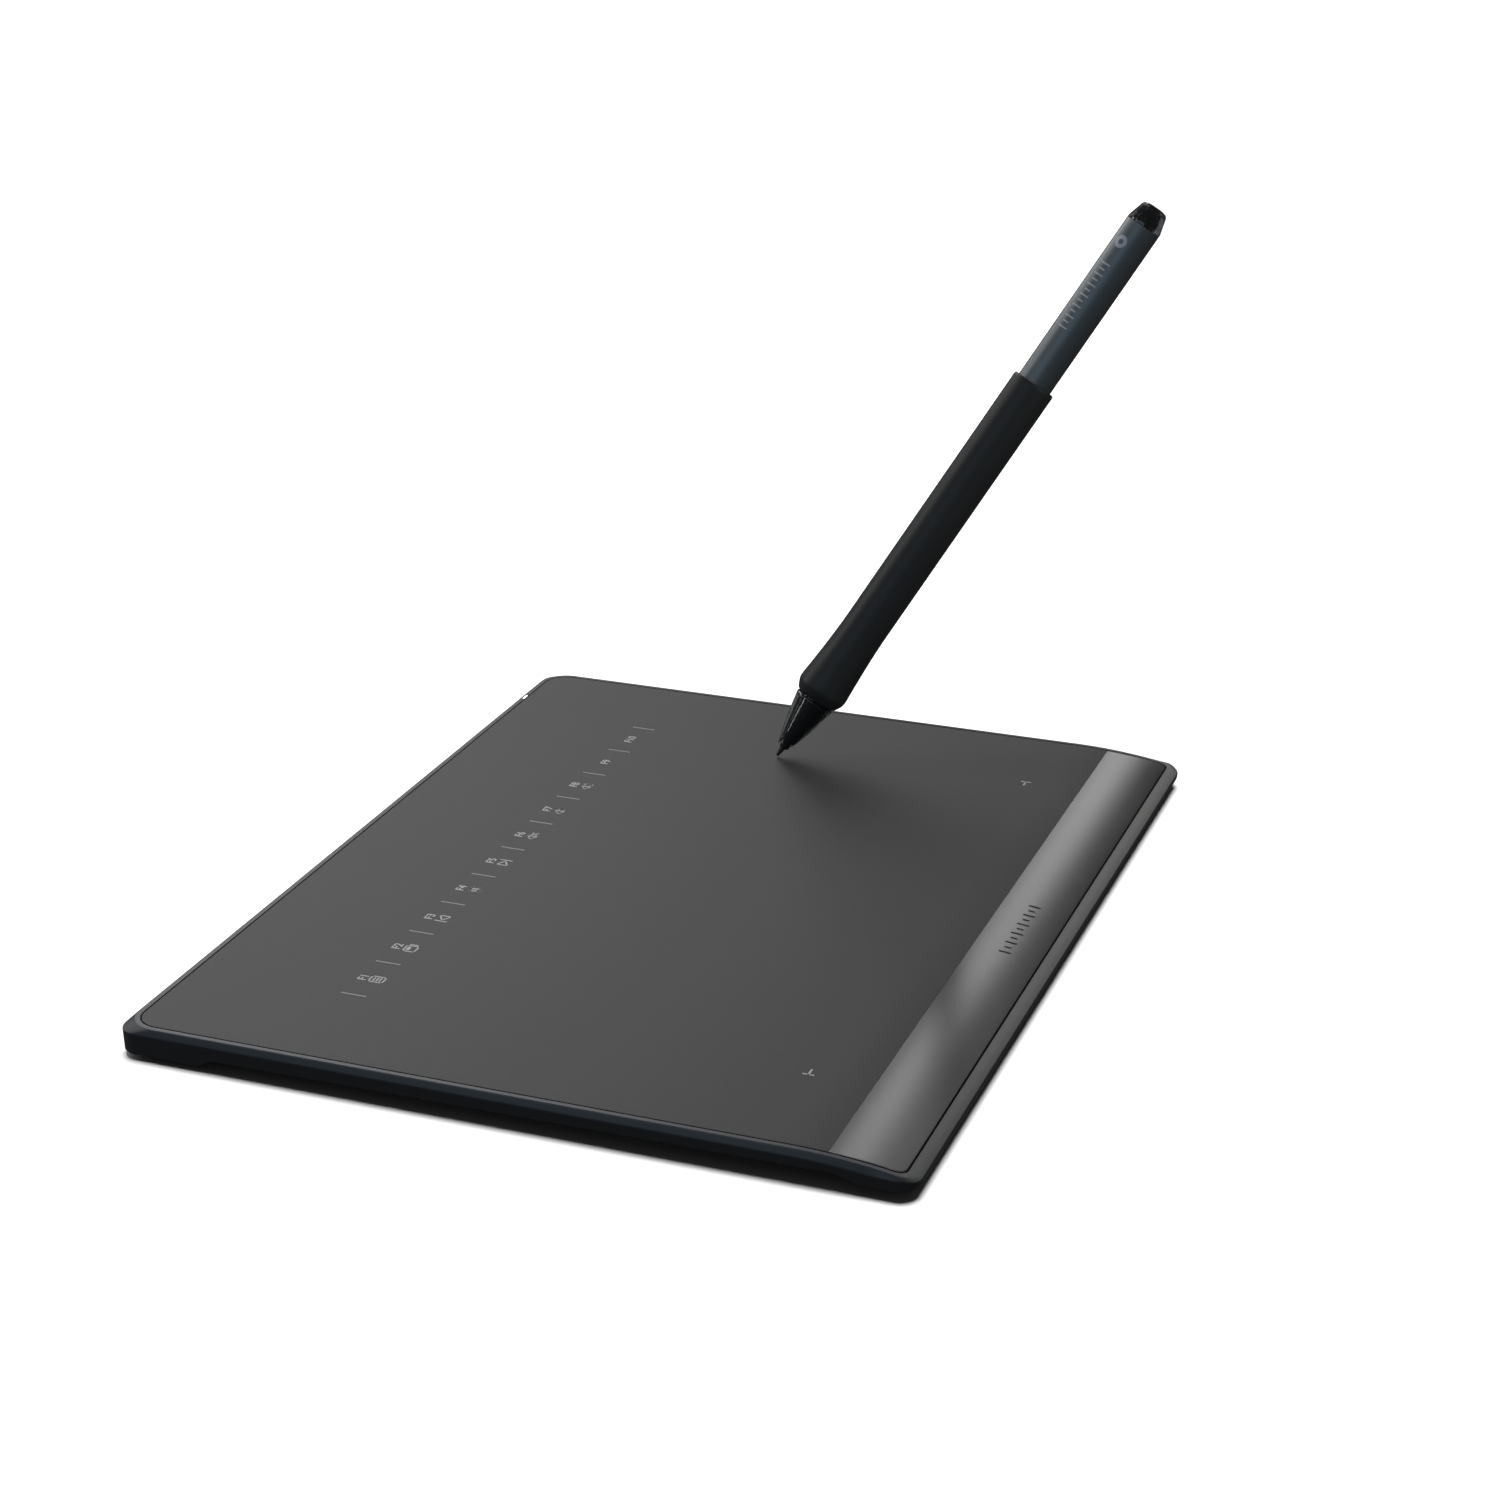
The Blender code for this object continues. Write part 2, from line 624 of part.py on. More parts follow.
def coil_stack(parent, finishes):
    """Ferrite tube round the nib, the coil wound on it, and the pressure sensor behind."""
    core = [(1.15, 11.0), (1.8, 11.0), (1.8, 26.6), (1.15, 26.6)]
    place("ferrite_core", turned("ferrite_core", core, INNER_STEPS), parent, finishes["ferrite"])
    turns = [(2.1, 18.4)]
    for i in range(7):
        turns += [(2.8, 18.4 + 1.1 * i), (2.95, 18.95 + 1.1 * i)]
    turns += [(2.8, 26.1), (2.1, 26.1)]
    place("pen_coil", turned("pen_coil", turns, INNER_STEPS), parent, finishes["copper"])
    sensor = [(0, 34.6), (2.2, 34.6), (2.2, 35.2), (3.4, 35.2), (3.4, 37.8), (0, 37.8)]
    place("pressure_sensor", turned("pressure_sensor", sensor, INNER_STEPS), parent, finishes["steel"])


def button_slots(margin):
    """Two bars along local +X, larger than the buttons by margin all round."""
    length, width = BUTTON_SIZE[0] + 2 * margin, BUTTON_SIZE[1] + 2 * margin
    outline = rounded_rectangle(width, length, 1.3 * MM)
    return [
        prism("button_slot", outline, 2.5 * MM, 9 * MM, turn=facing_x(s))
        for s in BUTTON_PLACES.values()
    ]


def facing_x(s):
    """Carries a prism's Z onto local +X and its Y onto the pen's axis, at s along the pen."""
    turn = Matrix(((0, 0, 1), (1, 0, 0), (0, 1, 0))).to_4x4()
    return Matrix.Translation((0, 0, s)) @ turn


def barrel(parent, finish):
    start, end = (value / MM for value in BARREL_ENDS)
    outer, inner = BARREL_RADIUS / MM, BARREL_BORE / MM
    profile = [(inner, start), (outer, start), (outer, end - 0.15), (outer - 0.15, end), (inner, end)]
    tube = place("barrel", turned("barrel", profile, PEN_STEPS), parent, finish)
    boolean(tube, helper("barrel_slots", button_slots(0.3 * MM), parent), "DIFFERENCE")


def grip_sleeve(parent, finish):
    """Long soft sleeve with a flared front, open over the two buttons."""
    bore = SLEEVE_BORE / MM
    front = [(5.6, 19.25), (5.95, 19.4), (6.65, 20.6), (7.12, 21.7), (7.27, 22.4), (7.24, 23.5)]
    waist = [(7.1, 25.3), (6.91, 27.9), (6.68, 31.5), (6.48, 35.0), (6.33, 38.5), (6.24, 42.0)]
    rear = [(6.225, 46.0), (6.225, 122.9), (6.12, 123.35), (5.85, 123.65), (bore, 123.7)]
    profile = [(bore, 19.25)] + front + waist + rear
    sleeve = place("grip_sleeve", turned("grip_sleeve", profile, PEN_STEPS), parent, finish)
    boolean(sleeve, helper("sleeve_slots", button_slots(0.3 * MM), parent), "DIFFERENCE")


def pen_inside(parent, finishes):
    """Half-round chassis under the circuit board, and the two switches under the buttons."""
    angles = [math.radians(92 + 176 * i / 12) for i in range(13)]
    outline = [(CHASSIS_RADIUS * math.cos(a), CHASSIS_RADIUS * math.sin(a)) for a in angles]
    chassis = prism("pen_chassis", outline, *CHASSIS_ENDS)
    place("pen_chassis", chassis, parent, finishes["chip"])
    place("pen_board", box("pen_board", *PEN_BOARD), parent, finishes["board"])
    outline = rounded_rectangle(*SWITCH_SIZE, 0.3 * MM, 1)
    for button, s in BUTTON_PLACES.items():
        name = button.replace("button", "switch")
        mesh = prism(name, outline, *SWITCH_SPAN, turn=facing_x(s))
        place(name, mesh, parent, finishes["steel"])


def side_buttons(parent, finish):
    """Two domed keys with end tabs that keep them inside the barrel."""
    length, width = BUTTON_SIZE
    for name, s in BUTTON_PLACES.items():
        outline = rounded_rectangle(width, length, 1.2 * MM)
        turn = Matrix.Translation((0, 0, -s)) @ facing_x(s)
        shape = prism(name, outline, BUTTON_BOTTOM, BUTTON_TOP, top_round=0.6 * MM, turn=turn)
        button = place(name, shape, parent, finish, (0, 0, s))
        tab_outline = rounded_rectangle(0.7 * width, length + 2 * MM, 0.4 * MM, 1)
        tabs = prism("tabs", tab_outline, BUTTON_BOTTOM, BUTTON_BOTTOM + 0.5 * MM, turn=turn)
        boolean(button, helper(name + "_tabs", [tabs], parent, (0, 0, s)), "UNION")


def tail(parent, finishes):
    """Clear smoked cap with a spigot in the barrel, and the dark plug inside it."""
    spigot = [(0, 178.9), (2.5, 178.5), (3.3, 176.5), (3.3, 168.0), (3.95, 168.0), (3.95, 174.3)]
    profile = spigot + tail_profile()
    place("tail_cap", turned("tail_cap", profile, PEN_STEPS), parent, finishes["smoke"])
    plug = [(0, 166.0), (2.9, 166.0), (2.9, 174.6), (2.3, 174.6), (2.3, 175.3), (2.9, 175.3)]
    plug += [(2.9, 176.2), (2.0, 176.2), (2.0, 177.6), (0, 177.6)]
    place("tail_plug", turned("tail_plug", plug, INNER_STEPS), parent, finishes["chip"])


# ---------------------------------------------------------------- assembly


def pen_frame():
    """The pen's axes: Z from the tip towards the tail, X towards the buttons."""
    lean = Matrix.Rotation(math.pi / 2 - PEN_ELEVATION, 4, "Y")
    return Matrix.Rotation(PEN_AZIMUTH, 4, "Z") @ lean @ Matrix.Rotation(PEN_ROLL, 4, "Z")


def box_middle_x():
    """Middle, across, of the box round the tablet and the pen's leaning tail."""
    axis_x = math.cos(PEN_ELEVATION) * math.cos(PEN_AZIMUTH)
    across = math.sqrt(1 - axis_x**2)
    reach = max(PEN_TIP.x + s * MM * axis_x + r * MM * across for r, s in tail_profile())
    return (reach - HALF_WIDTH) / 2


def finishes():
    return {
        "case": material("case_plastic", (0.035, 0.038, 0.042), 0.45),
        "surface": material("drawing_sheet", (0.075, 0.075, 0.077), 0.62),
        "band": material("satin_band", (0.16, 0.16, 0.165), 0.38, 0.6),
        "cover": material("cover_plastic", (0.012, 0.012, 0.013), 0.6),
        "rubber": material("foot_rubber", (0.015, 0.015, 0.015), 0.85),
        "screw": material("screw_steel", (0.05, 0.05, 0.055), 0.35, 1.0),
        "board": material("circuit_board", (0.01, 0.09, 0.04), 0.45),
        "steel": material("thin_steel", (0.55, 0.55, 0.56), 0.35, 1.0),
        "chip": material("dark_resin", (0.015, 0.015, 0.017), 0.5),
        "ribbon": material("ribbon_film", (0.35, 0.2, 0.05), 0.4),
        "light": material("light_pipe", (0.9, 0.9, 0.9), 0.3),
        "smoke": material("smoked_plastic", (0.02, 0.02, 0.022), 0.08, 0.0, 0.45),
        "nib": material("nib_plastic", (0.02, 0.02, 0.02), 0.5),
        "grip": material("soft_grip", (0.012, 0.013, 0.014), 0.7),
        "barrel": material("barrel_paint", (0.05, 0.065, 0.08), 0.4),
        "button": material("button_plastic", (0.02, 0.02, 0.022), 0.35),
        "ferrite": material("ferrite", (0.03, 0.03, 0.032), 0.6),
        "copper": material("copper_wire", (0.6, 0.25, 0.1), 0.35, 1.0),
    }


def build_tablet(parent, finish):
    top_case(parent, finish["case"])
    sheet("drawing_surface", parent, finish["surface"], (None, BAND_LINE + BUTT_GAP / 2))
    sheet("front_band", parent, finish["band"], (BAND_LINE - BUTT_GAP / 2, None))
    bottom_cover(parent, finish["cover"])
    rubber_feet(parent, finish["rubber"])
    case_screws(parent, finish["screw"])
    sensor_stack(parent, finish)
    main_board(parent, finish)
    usb_socket(parent, finish)
    status_light(parent, finish)


def build_pen(parent, finish):
    nib(parent, finish["nib"])
    nib_holder(parent, finish["nib"])
    nose_cone(parent, finish["smoke"])
    inner_cone(parent, finish["chip"])
    coil_stack(parent, finish)
    barrel(parent, finish["barrel"])
    grip_sleeve(parent, finish["grip"])
    pen_inside(parent, finish)
    side_buttons(parent, finish["button"])
    tail(parent, finish)


def main():
    clear_scene()
    finish = finishes()
    tablet = empty("tablet_frame", at=(-box_middle_x(), 0, 0))
    build_tablet(tablet, finish)
    pen = empty("pen_frame", tablet, PEN_TIP)
    pen.rotation_euler = pen_frame().to_euler()
    build_pen(pen, finish)


main()
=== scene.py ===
"""Looks of the pen drawing tablet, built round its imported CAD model.

The case, the sheets, the light's window and the pen's outer pieces are rebuilt here as fine meshes on the
CAD's own dimensions. The print, the grain of every surface and the studio are added. Units are metres.
"""

import json
import math

import bmesh
import bpy
from mathutils import Matrix, Vector


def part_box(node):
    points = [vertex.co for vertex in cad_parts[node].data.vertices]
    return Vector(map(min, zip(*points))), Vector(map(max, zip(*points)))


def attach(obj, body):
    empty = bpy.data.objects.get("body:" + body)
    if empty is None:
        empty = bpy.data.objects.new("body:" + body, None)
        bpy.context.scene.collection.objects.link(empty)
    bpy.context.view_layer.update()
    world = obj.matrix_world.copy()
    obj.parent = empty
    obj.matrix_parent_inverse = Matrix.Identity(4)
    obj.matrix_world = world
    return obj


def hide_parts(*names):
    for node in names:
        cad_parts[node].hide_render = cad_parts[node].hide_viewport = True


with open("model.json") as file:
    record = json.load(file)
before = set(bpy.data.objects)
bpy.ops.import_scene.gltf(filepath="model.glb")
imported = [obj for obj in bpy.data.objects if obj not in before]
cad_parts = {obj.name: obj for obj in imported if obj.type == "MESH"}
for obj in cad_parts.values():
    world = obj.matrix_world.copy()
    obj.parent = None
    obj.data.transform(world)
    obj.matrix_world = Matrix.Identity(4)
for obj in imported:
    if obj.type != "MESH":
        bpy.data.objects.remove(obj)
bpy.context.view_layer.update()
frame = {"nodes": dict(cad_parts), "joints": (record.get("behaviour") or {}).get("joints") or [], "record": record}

MM = 0.001

# Tablet, about its own middle
CASE_LOW, CASE_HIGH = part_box("top_case")
MIDDLE_X = (CASE_LOW.x + CASE_HIGH.x) / 2
HALF_WIDTH = (CASE_HIGH.x - CASE_LOW.x) / 2
HALF_DEPTH = (CASE_HIGH.y - CASE_LOW.y) / 2
TOP = CASE_HIGH.z
BACK_RADIUS = 5.0 * MM
TOP_BACK_RADIUS = 9.0 * MM
FRONT_RADIUS = 5.0 * MM
SMALL_RADIUS = 1.0 * MM
FALL_START = -66.0 * MM
FALL_RADIUS = 152.5 * MM
FRONT_SPREAD = 1.2
SEAM_INSET = 2.8 * MM
SEAM_GAP = 0.3 * MM
STRIP_INSET = 1.3 * MM
CHAMFER_DROP = 1.35 * MM
FRONT_CHAMFER_DROP = 0.15 * MM
CHAMFER_FADE = -84.0 * MM
RIM_START = -92.4 * MM
RIM_SLOPE = 0.2
WALL = 1.5 * MM
WALL_DRAFT = 0.2 * MM
POCKET_DEPTH = 1.1 * MM
DECK = 1.2 * MM
BACK_FOOT_EDGE = 1.4 * MM
FRONT_FOOT_EDGE = 2.6 * MM
ARCH_BACK = 3.3 * MM
ARCH_FRONT = 4.35 * MM
BACK_RAMP = (75.8 * MM, 70.0 * MM)
FRONT_RAMP = (-84.0 * MM, -76.5 * MM)
SHEET = 0.8 * MM
SHEET_LIP = 0.6 * MM
BAND_LINE = (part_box("drawing_surface")[0].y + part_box("front_band")[1].y) / 2
BAND_GAP = 0.02 * MM
FINE_EDGE = 0.1 * MM
SOFT_EDGE = 0.3 * MM

# Openings in the case
CUT_DEPTH = 3 * MM
USB_CLEARANCE = 0.35 * MM
LED_CLEARANCE = 0.05 * MM
LED_DEPTH = 2.05 * MM
LED_TRIM = 0.08 * MM
LED_SHIFT = 0.12 * MM

# Pen: its axis from the nib's own joint, and its tip from the nib's mesh. Its profiles are in mm
JOINT_AXES = {joint["name"]: Vector(joint["axis"]) for joint in frame["joints"]}
PEN_AXIS = JOINT_AXES["nib_press"].normalized()
BUTTON_SIDE = -JOINT_AXES["lower_button_press"].normalized()
BARREL_RADIUS = 5.09
BARREL_START, BARREL_END = 19.2, 174.0
SLEEVE_BORE = 5.39
BUTTON_LENGTH, BUTTON_WIDTH = 12.6, 4.0
BUTTON_CORNER = 1.2
BUTTON_LOW, BUTTON_HIGH = 3.1, 6.9
BUTTON_EDGE = 0.6
BUTTON_GAP = 0.3
SLOT_CORNER = 1.3
SLOT_LOW, SLOT_HIGH = 2.5, 9
BUTTON_BODIES = {"side_button_lower": "lower_button", "side_button_upper": "upper_button"}

# Print
INK = 0.015 * MM
INK_LIFT = 0.012 * MM
INK_LEVEL = TOP + 0.005 * MM
KEY_PITCH = 17.78 * MM
KEY_BACK = 55.07 * MM
DIVIDER_LENGTH = 6.53 * MM
DIVIDER_WIDTH = 0.44 * MM
LABEL_SIZE = 3.15 * MM
LABEL_DROP = 2.33 * MM
LABEL_BOLD = 0.06 * MM
PLAIN_LABEL_DROP = 1.6 * MM
LAST_ICON = 8
ICON_DROP = 4.9 * MM
LINE = 0.42  # in mm, like the icons' own points
CORNER_MARK = (88.9 * MM, -60.2 * MM)
CORNER_MARK_REACH = 2.3 * MM
CORNER_MARK_WIDTH = 0.5 * MM
BAND_MARK = (MIDDLE_X + 1.0 * MM, -83.3 * MM)
PEN_MARK_TURN = math.radians(148)
PEN_TICKS_AT, PEN_RING_AT = 150.5 * MM, 167.5 * MM

# Fineness
CORNER_STEPS = 20
TURN_STEPS = 96
SIDE_BACK, SIDE_FRONT = 86.0 * MM, -89.5 * MM
COARSE_STEP, FINE_STEP = 12 * MM, 0.75 * MM
BEND_REACH = 0.45
WEIGHT = 1e-6  # keeps the weights of a section's points out of their distances


# ---------------------------------------------------------------- mesh helpers


def new_object(name, mesh, matrix=None):
    obj = bpy.data.objects.new(name, mesh)
    bpy.context.scene.collection.objects.link(obj)
    if matrix is not None:
        obj.matrix_world = matrix
    return obj


def mesh_from(bm, name, sharp=35):
    bmesh.ops.recalc_face_normals(bm, faces=bm.faces)
    mesh = bpy.data.meshes.new(name)
    bm.to_mesh(mesh)
    bm.free()
    mesh.shade_smooth()
    mesh.set_sharp_from_angle(angle=math.radians(sharp))
    return mesh


def weighted(obj):
    """Lets wide faces keep their own normals beside narrow rounded edges."""
    modifier = obj.modifiers.new("normals", "WEIGHTED_NORMAL")
    modifier.keep_sharp = True
    modifier.weight = 80
    return obj


def applied(obj, sharp=35):
    """Replaces the object's mesh by the one its modifiers give."""
    graph = bpy.context.evaluated_depsgraph_get()
    mesh = bpy.data.meshes.new_from_object(obj.evaluated_get(graph))
    obj.modifiers.clear()
    obj.data = mesh
    mesh.shade_smooth()
    mesh.set_sharp_from_angle(angle=math.radians(sharp))
    return obj


def bend(corner, before, after, radius, steps):
    """Points that replace a corner by a curve, which takes less than half of each neighbouring side."""
    corner, before, after = Vector(corner), Vector(before), Vector(after)
    back, ahead = before - corner, after - corner
    start = corner + back.normalized() * min(radius, back.length * BEND_REACH)
    end = corner + ahead.normalized() * min(radius, ahead.length * BEND_REACH)
    return [
        start * (1 - t) ** 2 + corner * 2 * t * (1 - t) + end * t * t
        for t in (i / steps for i in range(steps + 1))
    ]


def softened(corners, steps=4):
    """An open outline of (point, radius) with each inner corner bent."""
    points = [Vector(corners[0][0])]
    for (before, _), (corner, radius), (after, _) in zip(corners, corners[1:], corners[2:]):
        points += bend(corner, before, after, radius, steps) if radius > 0 else [Vector(corner)]
    return points + [Vector(corners[-1][0])]


def turned(name, profile, matrix, steps=TURN_STEPS, sharp=35):
    """The profile, as (radius, s) in mm, spun about the pen's axis.

    It runs from axis to axis or closes on itself.
    """
    bm = bmesh.new()
    verts = [bm.verts.new((p[0] * MM, 0, p[1] * MM)) for p in profile]
    pairs = list(zip(verts, verts[1:]))
    if profile[0][0] > 0 or profile[-1][0] > 0:
        pairs.append((verts[-1], verts[0]))
    edges = [bm.edges.new(pair) for pair in pairs]
    bmesh.ops.spin(
        bm, geom=verts + edges, cent=(0, 0, 0), axis=(0, 0, 1), angle=math.tau, steps=steps, use_merge=True
    )
    bmesh.ops.remove_doubles(bm, verts=bm.verts, dist=1e-7)
    return new_object(name, mesh_from(bm, name, sharp), matrix)


def rounded_rectangle(width, depth, radius, steps=6):
    points = []
    for quarter in range(4):
        sx, sy = ((1, 1), (-1, 1), (-1, -1), (1, -1))[quarter]
        for step in range(steps + 1):
            a = math.radians(90 * (quarter + step / steps))
            x = sx * (width / 2 - radius) + radius * math.cos(a)
            y = sy * (depth / 2 - radius) + radius * math.sin(a)
            points.append((x, y))
    return points


def prism(bm, outline, low, high):
    """Adds the outline raised from low to high to bm, and returns its new vertices."""
    base = bm.faces.new([bm.verts.new((x, y, low)) for x, y in outline])
    extruded = bmesh.ops.extrude_face_region(bm, geom=[base])
    top = [v for v in extruded["geom"] if isinstance(v, bmesh.types.BMVert)]
    bmesh.ops.translate(bm, vec=(0, 0, high - low), verts=top)
    return list(base.verts) + top


# ---------------------------------------------------------------- tablet form


def smooth_step(low, high, value):
    t = min(max((value - low) / (high - low), 0.0), 1.0)
    return t * t * (3 - 2 * t)


def top_z(y):
    ahead = max(FALL_START - y, 0.0)
    rim = RIM_SLOPE * max(RIM_START - y, 0.0)
    return TOP - FALL_RADIUS + math.sqrt(FALL_RADIUS**2 - ahead**2) - rim


def scoop(y):
    return smooth_step(*BACK_RAMP, y) * smooth_step(*FRONT_RAMP, y)


def wall_edge_z(y):
    along = (BACK_RAMP[1] - y) / (BACK_RAMP[1] - FRONT_RAMP[1])
    arch = ARCH_BACK + (ARCH_FRONT - ARCH_BACK) * min(max(along, 0.0), 1.0)
    foot = BACK_FOOT_EDGE if y > 0 else FRONT_FOOT_EDGE
    return foot + (arch - foot) * scoop(y)


def chamfer_z(y):
    front = smooth_step(CHAMFER_FADE, -HALF_DEPTH, y)
    return top_z(y) - CHAMFER_DROP + (CHAMFER_DROP - FRONT_CHAMFER_DROP) * front


def side_stations():
    """Depths along the sides, close together where the wall or the top curves."""
    found, y = [], SIDE_BACK
    while y > SIDE_FRONT:
        found.append(y)
        straight = BACK_RAMP[1] > y > FALL_START + MM
        y -= COARSE_STEP if straight and y - COARSE_STEP > FALL_START else FINE_STEP
    return found


def quarter(steps=CORNER_STEPS):
    return [math.radians(90 * i / steps) for i in range(steps + 1)]


def half_outline(inset, wide, back_cut=None, front_cut=None):
    """Right half of the housing's outline, back to front, moved in by inset and ended at any cut.

    wide is 1 for the flat top, which turns the back corners in a wider arc, and 0 for the wall.
    """
    width, depth = HALF_WIDTH - inset, HALF_DEPTH - inset
    front_depth = HALF_DEPTH - inset * FRONT_SPREAD
    back = max(BACK_RADIUS + (TOP_BACK_RADIUS - BACK_RADIUS) * wide - inset, SMALL_RADIUS)
    front = max(FRONT_RADIUS - inset, SMALL_RADIUS)
    points = [(width, back_cut)]
    if back_cut is None:
        points = [
            (width - back + back * math.sin(a), depth - back + back * math.cos(a)) for a in quarter()
        ]
    for y in side_stations():
        if (back_cut is None or y < back_cut) and (front_cut is None or y > front_cut):
            points.append((width, y))
    if front_cut is not None:
        return points + [(width, front_cut)]
    return points + [
        (width - front + front * math.cos(a), front - front_depth - front * math.sin(a))
        for a in quarter()
    ]


def loft(name, section, cuts=(None, None), sharp=35):
    """Sweeps section(y), a list of (inset, z, follow, wide), along both halves of the outline.

    follow is 1 where a point's height goes with the top's fall inside a corner, and 0 where it doesn't.
    Both weights are stored times WEIGHT. The section's first and last points are capped by strips.
    """
    stations = [y for _, y in half_outline(0, 0, *cuts)]
    sections = [section(y) for y in stations]
    outlines = {}
    bm = bmesh.new()
    rows = []
    for j in range(len(sections[0])):
        right, left = [], []
        for i, y0 in enumerate(stations):
            inset, z, follow, wide = sections[i][j]
            key = round(inset, 7), round(wide / WEIGHT, 3)
            if key not in outlines:
                outlines[key] = half_outline(*key, *cuts)
            x, y = outlines[key][i]
            z += follow / WEIGHT * (top_z(y) - top_z(y0))
            right.append(bm.verts.new((MIDDLE_X + x, y, z)))
            left.append(bm.verts.new((MIDDLE_X - x, y, z)))
        rows.append((right, left))
    count = len(stations)
    for right, left in (rows[0], rows[-1]):
        for i in range(count - 1):
            bm.faces.new((right[i], right[i + 1], left[i + 1], left[i]))
    for (right_a, left_a), (right_b, left_b) in zip(rows, rows[1:]):
        for i in range(count - 1):
            bm.faces.new((right_a[i], right_a[i + 1], right_b[i + 1], right_b[i]))
            bm.faces.new((left_a[i], left_b[i], left_b[i + 1], left_a[i + 1]))
        bm.faces.new((right_a[0], right_b[0], left_b[0], left_a[0]))
        bm.faces.new((right_a[-1], left_a[-1], left_b[-1], right_b[-1]))
    return new_object(name, mesh_from(bm, name, sharp))


def on_top(inset, z):
    """A point of a section that goes with the top's fall and its wide corners."""
    return (inset, z, WEIGHT, WEIGHT)


def case_section(y):
    top, deck = top_z(y), top_z(y) - POCKET_DEPTH - DECK
    seam = SEAM_INSET - SEAM_GAP / 2
    return softened(
        [
            (on_top(seam, top - POCKET_DEPTH), 0),
            (on_top(seam, top), FINE_EDGE),
            (on_top(STRIP_INSET, top), SOFT_EDGE),
            ((0, chamfer_z(y), WEIGHT, 0), SOFT_EDGE),
            ((WALL_DRAFT, wall_edge_z(y), 0, 0), 0.35 * MM),
            ((WALL, wall_edge_z(y), 0, 0), 0.2 * MM),
            ((WALL, deck, WEIGHT, 0), 0),
        ]
    )


def sheet_section(y):
    inset = SEAM_INSET + SEAM_GAP / 2
    return softened(
        [
            (on_top(inset, top_z(y) - SHEET), 0),
            (on_top(inset, top_z(y)), FINE_EDGE),
            (on_top(inset + SHEET_LIP, top_z(y)), 0),
        ]
    )


# ---------------------------------------------------------------- tablet pieces


def show(obj, body, slot, *nodes):
    """Puts a finished piece on its body and hides the CAD nodes it stands for. The slot is not used."""
    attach(obj, body)
    if nodes:
        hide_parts(*nodes)
    return obj


def cutter(name, shapes):
    """A hidden object for a Boolean, from (outline, low, high, matrix) prisms."""
    bm = bmesh.new()
    for outline, low, high, matrix in shapes:
        verts = prism(bm, outline, low, high)
        bmesh.ops.transform(bm, matrix=matrix, verts=verts)
    obj = new_object(name, mesh_from(bm, name))
    obj.hide_render = True
    return obj


def cut(obj, other, operation="DIFFERENCE"):
    modifier = obj.modifiers.new(other.name, "BOOLEAN")
    modifier.operation = operation
    modifier.object = other
    applied(obj)
    bpy.data.objects.remove(other)
    return obj


def usb_bar(margin, near, far):
    """The USB socket's outline grown by margin, as a bar from near to far along Y."""
    low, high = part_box("usb_c_shell")
    width, height = high.x - low.x + 2 * margin, high.z - low.z + 2 * margin
    middle = (low + high) / 2
    outline = rounded_rectangle(width, height, height / 2 - 0.01 * MM, 10)
    upright = Matrix.Translation((middle.x, 0, middle.z)) @ Matrix.Rotation(math.pi / 2, 4, "X")
    return (outline, -far, -near, upright)


def led_outline(margin):
    """The light's window: the CAD's, trimmed and moved towards the sheet, off the strip's outer edge."""
    low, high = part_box("led_light_pipe")
    middle = (low + high) / 2 - Vector((0, LED_SHIFT, 0))
    width, depth = (side + 2 * (margin - LED_TRIM) for side in (high.x - low.x, high.y - low.y))
    return middle, rounded_rectangle(width, depth, depth / 2 - 0.01 * MM, 8)


def make_led(finish):
    middle, outline = led_outline(0)
    bm = bmesh.new()
    prism(bm, outline, TOP - LED_DEPTH, TOP)
    bmesh.ops.translate(bm, vec=(middle.x, middle.y, 0), verts=bm.verts)
    lens = new_object("led_lens", mesh_from(bm, "led_lens"))
    lens.data.materials.append(finish)
    show(lens, "tablet", "light_pipe", "led_light_pipe")


def make_case(finish):
    case = loft("case_bezel", case_section)
    middle, outline = led_outline(LED_CLEARANCE)
    shapes = [
        usb_bar(USB_CLEARANCE, HALF_DEPTH - CUT_DEPTH, HALF_DEPTH + MM),
        (outline, TOP - CUT_DEPTH, TOP + MM, Matrix.Translation((middle.x, middle.y, 0))),
    ]
    cut(case, cutter("case_openings", shapes))
    weighted(case).data.materials.append(finish)
    return show(case, "tablet", "case_plastic", "top_case")


def make_sheets(surface, band):
    sheet = loft("drawing_sheet", sheet_section, (None, BAND_LINE + BAND_GAP))
    weighted(sheet).data.materials.append(surface)
    show(sheet, "tablet", "drawing_sheet", "drawing_surface")
    strip = loft("satin_band_strip", sheet_section, (BAND_LINE - BAND_GAP, None))
    weighted(strip).data.materials.append(band)
    show(strip, "tablet", "satin_band", "front_band")


# ---------------------------------------------------------------- pen pieces


def pen_matrix():
    """The pen's axes in the row frame: Z from the tip towards the tail, X towards the buttons."""
    mesh = frame["nodes"]["pen_nib"].data
    points = [Vector(point) for point in {tuple(round(c, 6) for c in v.co) for v in mesh.vertices}]
    middle = sum(points, Vector()) / len(points)
    lowest = min((p - middle).dot(PEN_AXIS) for p in points)
    tip = middle + PEN_AXIS * lowest
    side = (BUTTON_SIDE - PEN_AXIS * BUTTON_SIDE.dot(PEN_AXIS)).normalized()
    turn = Matrix((side, PEN_AXIS.cross(side), PEN_AXIS)).transposed().to_4x4()
    return Matrix.Translation(tip) @ turn


def flat(points):
    """(r, s, radius) entries as 3D points with radii, for softened()."""
    return [((r, s, 0), radius) for r, s, radius in points]


